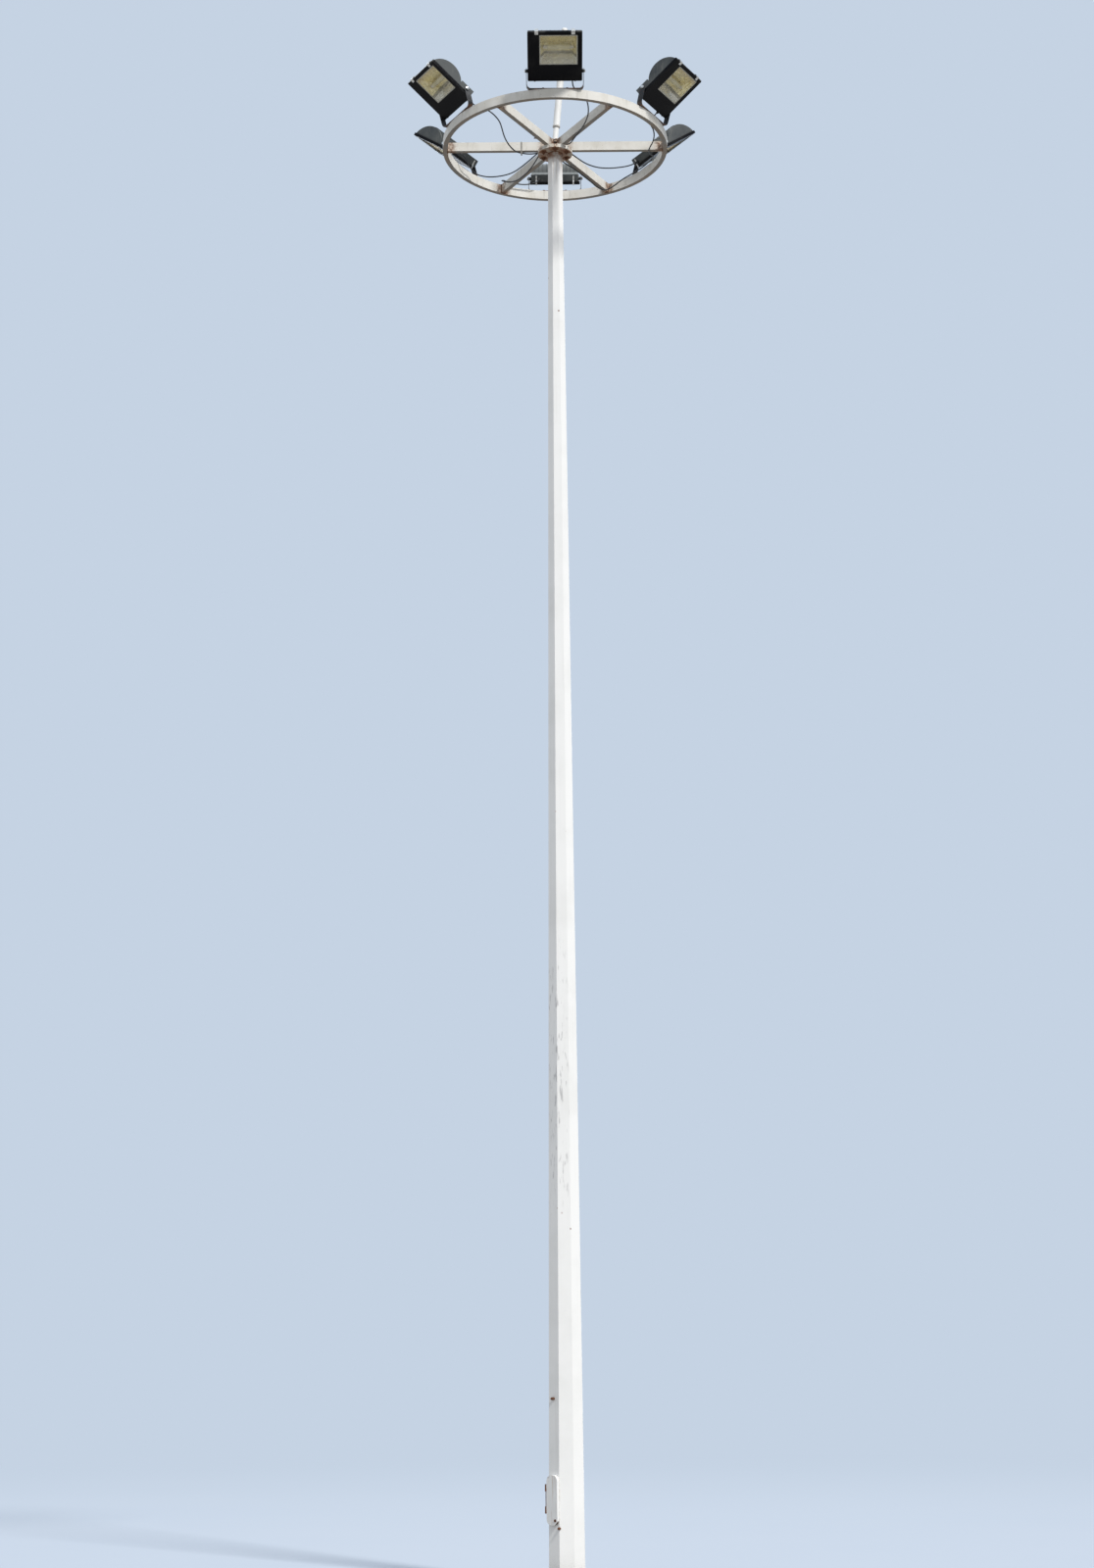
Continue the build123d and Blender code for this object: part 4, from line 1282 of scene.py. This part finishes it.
# Leads: bearing in degrees, distance from the mast's axis and height in metres, after the straight start.
lead = {
    "diameter": 0.011,
    "gap": 0.001,
    "straight": 0.05,
    "steps": 8,
    "sides": 5,
    "blendIn": 0.114,
    "blendDown": 0.152,
}
leadRoutes = {
    1: [
        (83.5, 0.826, 12.070), (82, 0.735, 12.024), (82.5, 0.612, 11.980), (83, 0.480, 11.948),
        (83, 0.350, 11.944), (79.5, 0.240, 11.960), (76.5, 0.165, 11.982), (75.5, 0.120, 11.996),
        (75, 0.086, 12.000), (75, 0.050, 12.001),
    ],
    2: [
        (146.9, 0.879, 12.085), (151, 0.897, 12.068), (156.5, 0.900, 12.060), (161.8, 0.896, 12.062),
        (166.6, 0.884, 12.058), (169, 0.862, 12.038), (168.9, 0.810, 12.006), (167.8, 0.715, 11.966),
        (168.6, 0.590, 11.934), (170, 0.460, 11.926), (173.5, 0.335, 11.936), (180, 0.240, 11.954),
        (188.5, 0.170, 11.980), (194, 0.124, 11.996), (195, 0.088, 12.000), (195, 0.050, 12.000),
    ],
    3: [
        (202.4, 0.867, 12.081), (198, 0.869, 12.058), (192.7, 0.886, 12.040), (188.3, 0.884, 12.008),
        (184, 0.795, 11.976), (181.5, 0.660, 11.952), (180.3, 0.525, 11.941), (183.5, 0.390, 11.946),
        (188, 0.270, 11.966), (192, 0.182, 11.992), (194.5, 0.124, 12.010), (195, 0.088, 12.014),
        (195, 0.050, 12.014),
    ],
    4: [
        (266.9, 0.879, 12.083), (271.1, 0.901, 12.046), (274.8, 0.903, 12.006), (277.4, 0.893, 11.972),
        (278.2, 0.843, 11.950), (276.8, 0.760, 11.940), (272, 0.665, 11.935), (264.5, 0.570, 11.930),
        (254, 0.470, 11.927), (242.5, 0.390, 11.928), (231.5, 0.336, 11.937), (225.5, 0.288, 11.943),
        (217.5, 0.232, 11.951), (206.5, 0.178, 11.968), (199, 0.128, 11.982), (195.3, 0.090, 11.986),
        (195, 0.050, 11.986),
    ],
    5: [
        (326.9, 0.879, 12.081), (330.3, 0.900, 12.042), (332, 0.907, 11.990), (333.8, 0.868, 11.950),
        (336.4, 0.765, 11.936), (339.2, 0.620, 11.935), (341.8, 0.480, 11.939), (344.5, 0.350, 11.942),
        (351, 0.240, 11.950), (3, 0.168, 11.974), (11.5, 0.120, 11.993), (15, 0.086, 12.000),
        (15, 0.050, 12.001),
    ],
    6: [
        (23.6, 0.868, 12.078), (22.4, 0.887, 12.030), (22.3, 0.912, 11.985), (25.5, 0.905, 11.952),
        (31.5, 0.868, 11.937), (39.5, 0.815, 11.936), (47, 0.822, 11.944), (53, 0.862, 11.974),
        (59.5, 0.895, 12.010), (67.5, 0.905, 12.030), (76, 0.906, 12.032), (85, 0.908, 12.034),
        (93.3, 0.908, 12.024), (99.5, 0.905, 11.984), (103.4, 0.872, 11.946), (105.6, 0.790, 11.942),
        (105.2, 0.650, 11.944), (106, 0.500, 11.947), (105.6, 0.355, 11.944), (110.5, 0.240, 11.944),
        (122, 0.170, 11.972), (131.5, 0.120, 11.994), (135, 0.086, 12.000), (135, 0.050, 12.001),
    ],
}


def addLead(number):
    start = lampPlan["glandReach"] + lead["gap"]
    matrix = lampMatrix(number)
    points = [matrix @ Vector((lampPlan["glandAside"], -start - run, 0)) for run in (0, lead["straight"])]
    points += [polar(*point) for point in leadRoutes[number]]
    data = bpy.data.curves.new(f"lead{number}Path", "CURVE")
    data.dimensions = "3D"
    data.resolution_u = lead["steps"]
    spline = data.splines.new("NURBS")
    spline.points.add(len(points) - 1)
    for corner, point in zip(spline.points, points):
        corner.co = (*point, 1.0)
    spline.order_u = 3
    spline.use_endpoint_u = True
    carrier = addObject(f"lead{number}Path", data)
    depsgraph = bpy.context.evaluated_depsgraph_get()
    line = bpy.data.meshes.new_from_object(carrier.evaluated_get(depsgraph))
    data.bevel_depth = lead["diameter"] / 2
    data.bevel_resolution = lead["sides"]
    data.use_fill_caps = True
    depsgraph = bpy.context.evaluated_depsgraph_get()
    tube = bpy.data.meshes.new_from_object(carrier.evaluated_get(depsgraph))
    bpy.data.objects.remove(carrier)
    piece = addObject(f"lamp{number}Lead", tube)
    setFinish(piece, finishes["cable"])
    smoothFaces(tube, 60)
    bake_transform(piece)
    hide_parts(f"lamp_{number}_lead")


for number in lampNumbers:
    addLead(number)
print("leads laid")


# Bolts of the mast's foot and head and of the yokes. Each hex is (height over the washer, turn in radians).
anchorBolt = {
    "acrossFlats": 0.036,
    "hexHeight": 0.019,
    "hexes": ((0.0, 0.0), (0.020, 0.8)),
    "washerRadius": 0.026,
    "washerThickness": 0.004,
    "studRadius": 0.012,
    "studLength": 0.078,
    "threadPitch": 0.003,
}
flangeBolt = {"acrossFlats": 0.024, "hexHeight": 0.0115, "washerRadius": 0.0165, "washerThickness": 0.003}
flangeNut = dict(flangeBolt, hexHeight=0.0145, studRadius=0.008, studLength=0.026, threadPitch=0.002)
yokeBolt = {"acrossFlats": 0.019, "hexHeight": 0.0085, "washerRadius": 0.014, "washerThickness": 0.0025}
yokePlan = {"boltsApart": 0.2, "barThickness": 0.005}


def addBolts():
    circle = {
        "Count": anchorPlan["count"],
        "Radius": anchorPlan["spacing"] / math.sqrt(2),
        "Start": math.pi / 4,
        "Height": plateTop,
        "Spin": anchorPlan["spin"],
        "Seed": anchorPlan["seed"],
        "Material": finishes["rust"],
    }
    six = dict(circle, Count=headPlan["lamps"], Radius=headPlan["boltCircle"], Start=math.radians(firstLamp))
    nutCircle = dict(six, Height=hubUnderside, Seed=headPlan["nutSeed"])
    pair = {"Count": 2, "Step": (0, yokePlan["boltsApart"], 0), "Material": finishes["rust"]}
    yokeCircle = dict(six, Radius=ringMiddle, Height=ringTop + yokePlan["barThickness"], Spin=0.0)
    nutMesh = hexFastener(flangeNut)
    nutMesh.transform(Matrix.Rotation(math.pi, 4, "X"))
    for name, mesh, steps in (
        ("anchorNuts", hexFastener(anchorBolt), [("circle", circle)]),
        ("flangeHeads", hexFastener(flangeBolt), [("circle", dict(six, Height=hubTop))]),
        ("flangeNuts", nutMesh, [("circle", nutCircle)]),
        ("yokeBolts", hexFastener(yokeBolt), [("row", pair), ("circle", yokeCircle)]),
    ):
        piece = makeCopies(name, mesh, steps)
        smoothFaces(piece.data, 30)
        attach(piece, "mast")


addBolts()
print("bolts fitted")


# Weld beads at the foot, under and over the flanges, at both ends of each spoke and round the door frame.
weld = {
    "ripple": 0.006,
    "wander": 0.0014,
    "proud": 0.001,
    "footRadius": 0.006,
    "headRadius": 0.0045,
    "spokeRadius": 0.0035,
    "doorRadius": 0.0035,
}
doorPlan = {"width": 0.115, "height": 0.370, "corner": 0.045, "centre": 0.645}


def octagon(flats, height):
    half = 180 / mastPlan["faces"]
    radius = flats / 2 / math.cos(math.radians(half))
    return [polar(half * (2 * step + 1), radius, height) for step in range(mastPlan["faces"] + 1)]


def rectangleLoop(matrix, width, height):
    corners = [(-1, -1), (1, -1), (1, 1), (-1, 1), (-1, -1)]
    return [matrix @ Vector((x * width / 2, y * height / 2, 0)) for x, y in corners]


def roundedLoop(matrix, width, height, corner, steps=5):
    points = []
    for index, (x, y) in enumerate(((1, 1), (-1, 1), (-1, -1), (1, -1))):
        centre = Vector((x * (width / 2 - corner), y * (height / 2 - corner), 0))
        for step in range(steps + 1):
            angle = math.pi / 2 * (index + step / steps)
            points.append(matrix @ (centre + Vector((math.cos(angle), math.sin(angle), 0)) * corner))
    return points + [points[0]]


def circleLoop(radius, height, steps=40):
    return [polar(360 / steps * step, radius, height) for step in range(steps + 1)]


def doorFlatMatrix():
    # The middle of the door on its flat of the mast, which leans in towards the top.
    narrowing = mastPlan["topFlats"] - mastPlan["baseFlats"]
    length = shaftTop - plateTop
    flats = mastPlan["baseFlats"] + narrowing * (doorPlan["centre"] - plateTop) / length
    lean = math.atan2(-narrowing, 2 * length)
    return flatMatrix(-90, flats / 2, doorPlan["centre"]) @ Matrix.Rotation(-lean, 4, "X")


def addBead(name, paths, radius, material, seed, copies=None):
    values = {"Radius": radius, "Ripple": weld["ripple"], "Wander": weld["wander"], "Seed": seed}
    steps = [("bead", dict(values, Material=material))]
    if copies is not None:
        steps.append(("circle", dict(copies, Material=material, Spin=0.0, Seed=0, Height=0.0, Radius=0.0)))
    piece = makeCopies(name, pathMesh(paths), steps)
    smoothFaces(piece.data, 60)
    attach(piece, "mast")
    return piece


def addWelds():
    footPath = octagon(mastPlan["baseFlats"] + 2 * weld["proud"], plateTop)
    underFlange = octagon(mastPlan["topFlats"] + 2 * weld["proud"], hubUnderside)
    overHub = circleLoop(hubTubeRadius, hubTop)
    tubeHeight = ringTop - ringBottom
    spokeEnds = []
    for distance in (ringInner, hubTubeRadius - weld["proud"]):
        end = flatMatrix(0, distance, (ringBottom + ringTop) / 2)
        spokeEnds.append(rectangleLoop(end, ringTube + weld["proud"], tubeHeight + weld["proud"]))
    doorLoop = roundedLoop(doorFlatMatrix(), doorPlan["width"], doorPlan["height"], doorPlan["corner"])
    six = {"Count": headPlan["lamps"], "Start": math.radians(headPlan["firstSpoke"])}
    beads = [
        addBead("footWeld", [footPath], weld["footRadius"], finishes["paintedWeld"], 1.0),
        addBead("headWeld", [underFlange, overHub], weld["headRadius"], finishes["weld"], 2.0),
        addBead("spokeWelds", spokeEnds, weld["spokeRadius"], finishes["weld"], 3.0, six),
        addBead("doorFrameWeld", [doorLoop], weld["doorRadius"], finishes["paintedWeld"], 4.0),
    ]


addWelds()
print("welds laid")


# What is on each floodlight: spring clips, latches, gasket, pivot bolts and cable gland.
# A spring's outline is (up the face, out of the face), from the front edge of the frame that it holds.
clip = {
    "edge": faceTop,
    "across": 0.030,
    "thickness": 0.0022,
    "apart": 0.304,
    "outline": (
        (-0.025, 0.0028),
        (-0.022, 0.0008),
        (-0.004, 0.0008),
        (0.006, 0.0002),
        (0.008, -0.004),
        (0.009, -0.012),
        (0.008, -0.030),
        (0.001, -0.038),
        (-0.004, -0.056),
        (-0.002, -0.060),
    ),
}
# The latch runs up the foot of the gear box and over the frame's lower edge.
latch = {
    "edge": -lampPlan["belowPivot"],
    "across": 0.013,
    "thickness": 0.0022,
    "apart": 0.336,
    "outline": (
        (0.0028, -0.077),
        (0.0058, -0.073),
        (0.0058, -0.034),
        (-0.0012, -0.025),
        (-0.0012, -0.004),
        (-0.0047, 0.001),
        (-0.0032, 0.005),
    ),
}
pivotCap = {"acrossFlats": 0.022, "hexHeight": 0.004, "washerRadius": 0.0145, "washerThickness": 0.0015}
gasket = {
    "left": -0.1285,
    "right": 0.1895,
    "bottom": 0.075,
    "top": 0.338,
    "back": 0.0371,
    "front": 0.0388,
    "width": 0.009,
    "gap": 0.0002,
    "lip": 0.001,
    "lipDrop": 0.0006,
    "outerCorner": 0.003,
    "innerCorner": 0.010,
}
gland = {
    "nutFlats": 0.024,
    "nutHeight": 0.010,
    "radius": 0.0125,
    "domeHeight": 0.012,
    "shoulder": 0.005,
    "neck": (0.85, 0.003),
    "mouth": 0.6,
}


def springMesh(plan):
    outline = [(plan["edge"] + up, lampPlan["faceOut"] + out) for up, out in plan["outline"]]
    form = bmesh.new()
    addBand(form, outline, -plan["thickness"], -plan["across"] / 2, plan["across"] / 2)
    bmesh.ops.recalc_face_normals(form, faces=form.faces)
    return meshFrom(form)


def windowLoop(inset, corner, height):
    width = gasket["right"] - gasket["left"] - 2 * inset
    tall = gasket["top"] - gasket["bottom"] - 2 * inset
    centre = ((gasket["left"] + gasket["right"]) / 2, (gasket["bottom"] + gasket["top"]) / 2, height)
    return roundedLoop(Matrix.Translation(centre), width, tall, corner)[:-1]


def gasketMesh():
    # Pale sealing strip round the window, on the outside of the pane.
    form = bmesh.new()
    gap, width, back, front = (gasket[key] for key in ("gap", "width", "back", "front"))
    outer, inner = gasket["outerCorner"], gasket["innerCorner"]
    section = (
        (gap, outer, back),
        (gap, outer, front),
        (width - gasket["lip"], inner, front),
        (width, inner, front - gasket["lipDrop"]),
        (width, inner, back),
    )
    rows = [[form.verts.new(point) for point in windowLoop(*corner)] for corner in section]
    for one, two in zip(rows, rows[1:] + rows[:1]):
        for index in range(len(one)):
            after = (index + 1) % len(one)
            form.faces.new((one[index], one[after], two[after], two[index]))
    bmesh.ops.recalc_face_normals(form, faces=form.faces)
    return meshFrom(form)


def glandMesh():
    # Nut, body and dome of the gland, drawn along its own axis and pointing down the lamp's face.
    form = bmesh.new()
    nutRadius, nutHeight, radius = gland["nutFlats"] / math.sqrt(3), gland["nutHeight"], gland["radius"]
    top = nutHeight + gland["domeHeight"]
    neckShare, neckDown = gland["neck"]
    addLathe(form, [(0, 0), (nutRadius, 0), (nutRadius, nutHeight), (0, nutHeight)], 6)
    profile = [(0, nutHeight), (radius, nutHeight), (radius, nutHeight + gland["shoulder"])]
    profile += [(radius * neckShare, top - neckDown), (radius * gland["mouth"], top), (0, top)]
    addLathe(form, profile, 20)
    mesh = meshFrom(form)
    mesh.transform(Matrix.Rotation(math.pi / 2, 4, "X"))
    mesh.transform(Matrix.Translation((lampPlan["glandAside"], top - lampPlan["glandReach"], 0)))
    return mesh


def pivotCapPair(number):
    caps = []
    for side in (-1, 1):
        mesh = hexFastener(pivotCap)
        mesh.materials.append(finishes["zinc"])
        mesh.transform(Matrix.Rotation(side * math.pi / 2, 4, "Y"))
        mesh.transform(Matrix.Translation((side * lampPlan["pivotHeadOut"], 0, 0)))
        caps.append(addObject("cap", mesh))
    return joinPieces(f"lamp{number}PivotBolts", caps)


def addLampFittings(number):
    fittings = []
    for name, plan in (("Clips", clip), ("Latches", latch)):
        row = {"Count": 2, "Step": (plan["apart"], 0, 0), "Material": finishes["zinc"]}
        fittings.append((makeCopies(f"lamp{number}{name}", springMesh(plan), [("row", row)]), "rusty_steel"))
    seal = addObject(f"lamp{number}Gasket", gasketMesh())
    setFinish(seal, finishes["gasket"])
    fittings.append((pivotCapPair(number), "rusty_steel"))
    stem = addObject(f"lamp{number}Gland", glandMesh())
    setFinish(stem, finishes["gland"])
    for piece, slotName in fittings + [(stem, "lamp_housing"), (seal, "cable_sheath")]:
        piece.data.transform(lampMatrix(number))
        smoothFaces(piece.data)
        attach(piece, f"lamp_{number}")


for number in lampNumbers:
    addLampFittings(number)
print("floodlights fitted out")


# Loose fittings of the mast: a rusty bolt left in a spoke, and the door's hinge rod.
spokeBolt = {"bearing": 285.0, "distance": 0.283, "height": 11.972, "out": 0.020}
spokeBolt["size"] = {
    "acrossFlats": 0.017,
    "hexHeight": 0.008,
    "washerRadius": 0.012,
    "washerThickness": 0.002,
    "studRadius": 0.005,
    "studLength": 0.026,
    "threadPitch": 0.0015,
}
hingeRod = {"radius": 0.003, "low": 0.5955, "high": 0.7095, "sides": 12}


def addSpokeBolt():
    side = outward(spokeBolt["bearing"] - 90)
    place = polar(spokeBolt["bearing"], spokeBolt["distance"], spokeBolt["height"]) + side * spokeBolt["out"]
    mesh = hexFastener(spokeBolt["size"])
    mesh.transform(Matrix.Translation(place) @ side.to_track_quat("Z", "Y").to_matrix().to_4x4())
    return addObject("spokeBolt", mesh)


def addHingeRod():
    hinge = jointPlaces["door"]
    form = bmesh.new()
    span = hingeRod["high"] - hingeRod["low"]
    profile = [(0, 0), (hingeRod["radius"], 0), (hingeRod["radius"], span), (0, span)]
    addLathe(form, profile, hingeRod["sides"], centre=(hinge.x, hinge.y, hingeRod["low"]))
    return addObject("hingeRod", meshFrom(form))


for piece in (addSpokeBolt(), addHingeRod()):
    setFinish(piece, finishes["rust"])
    smoothFaces(piece.data, 30)
    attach(piece, "mast")
print("loose fittings placed")
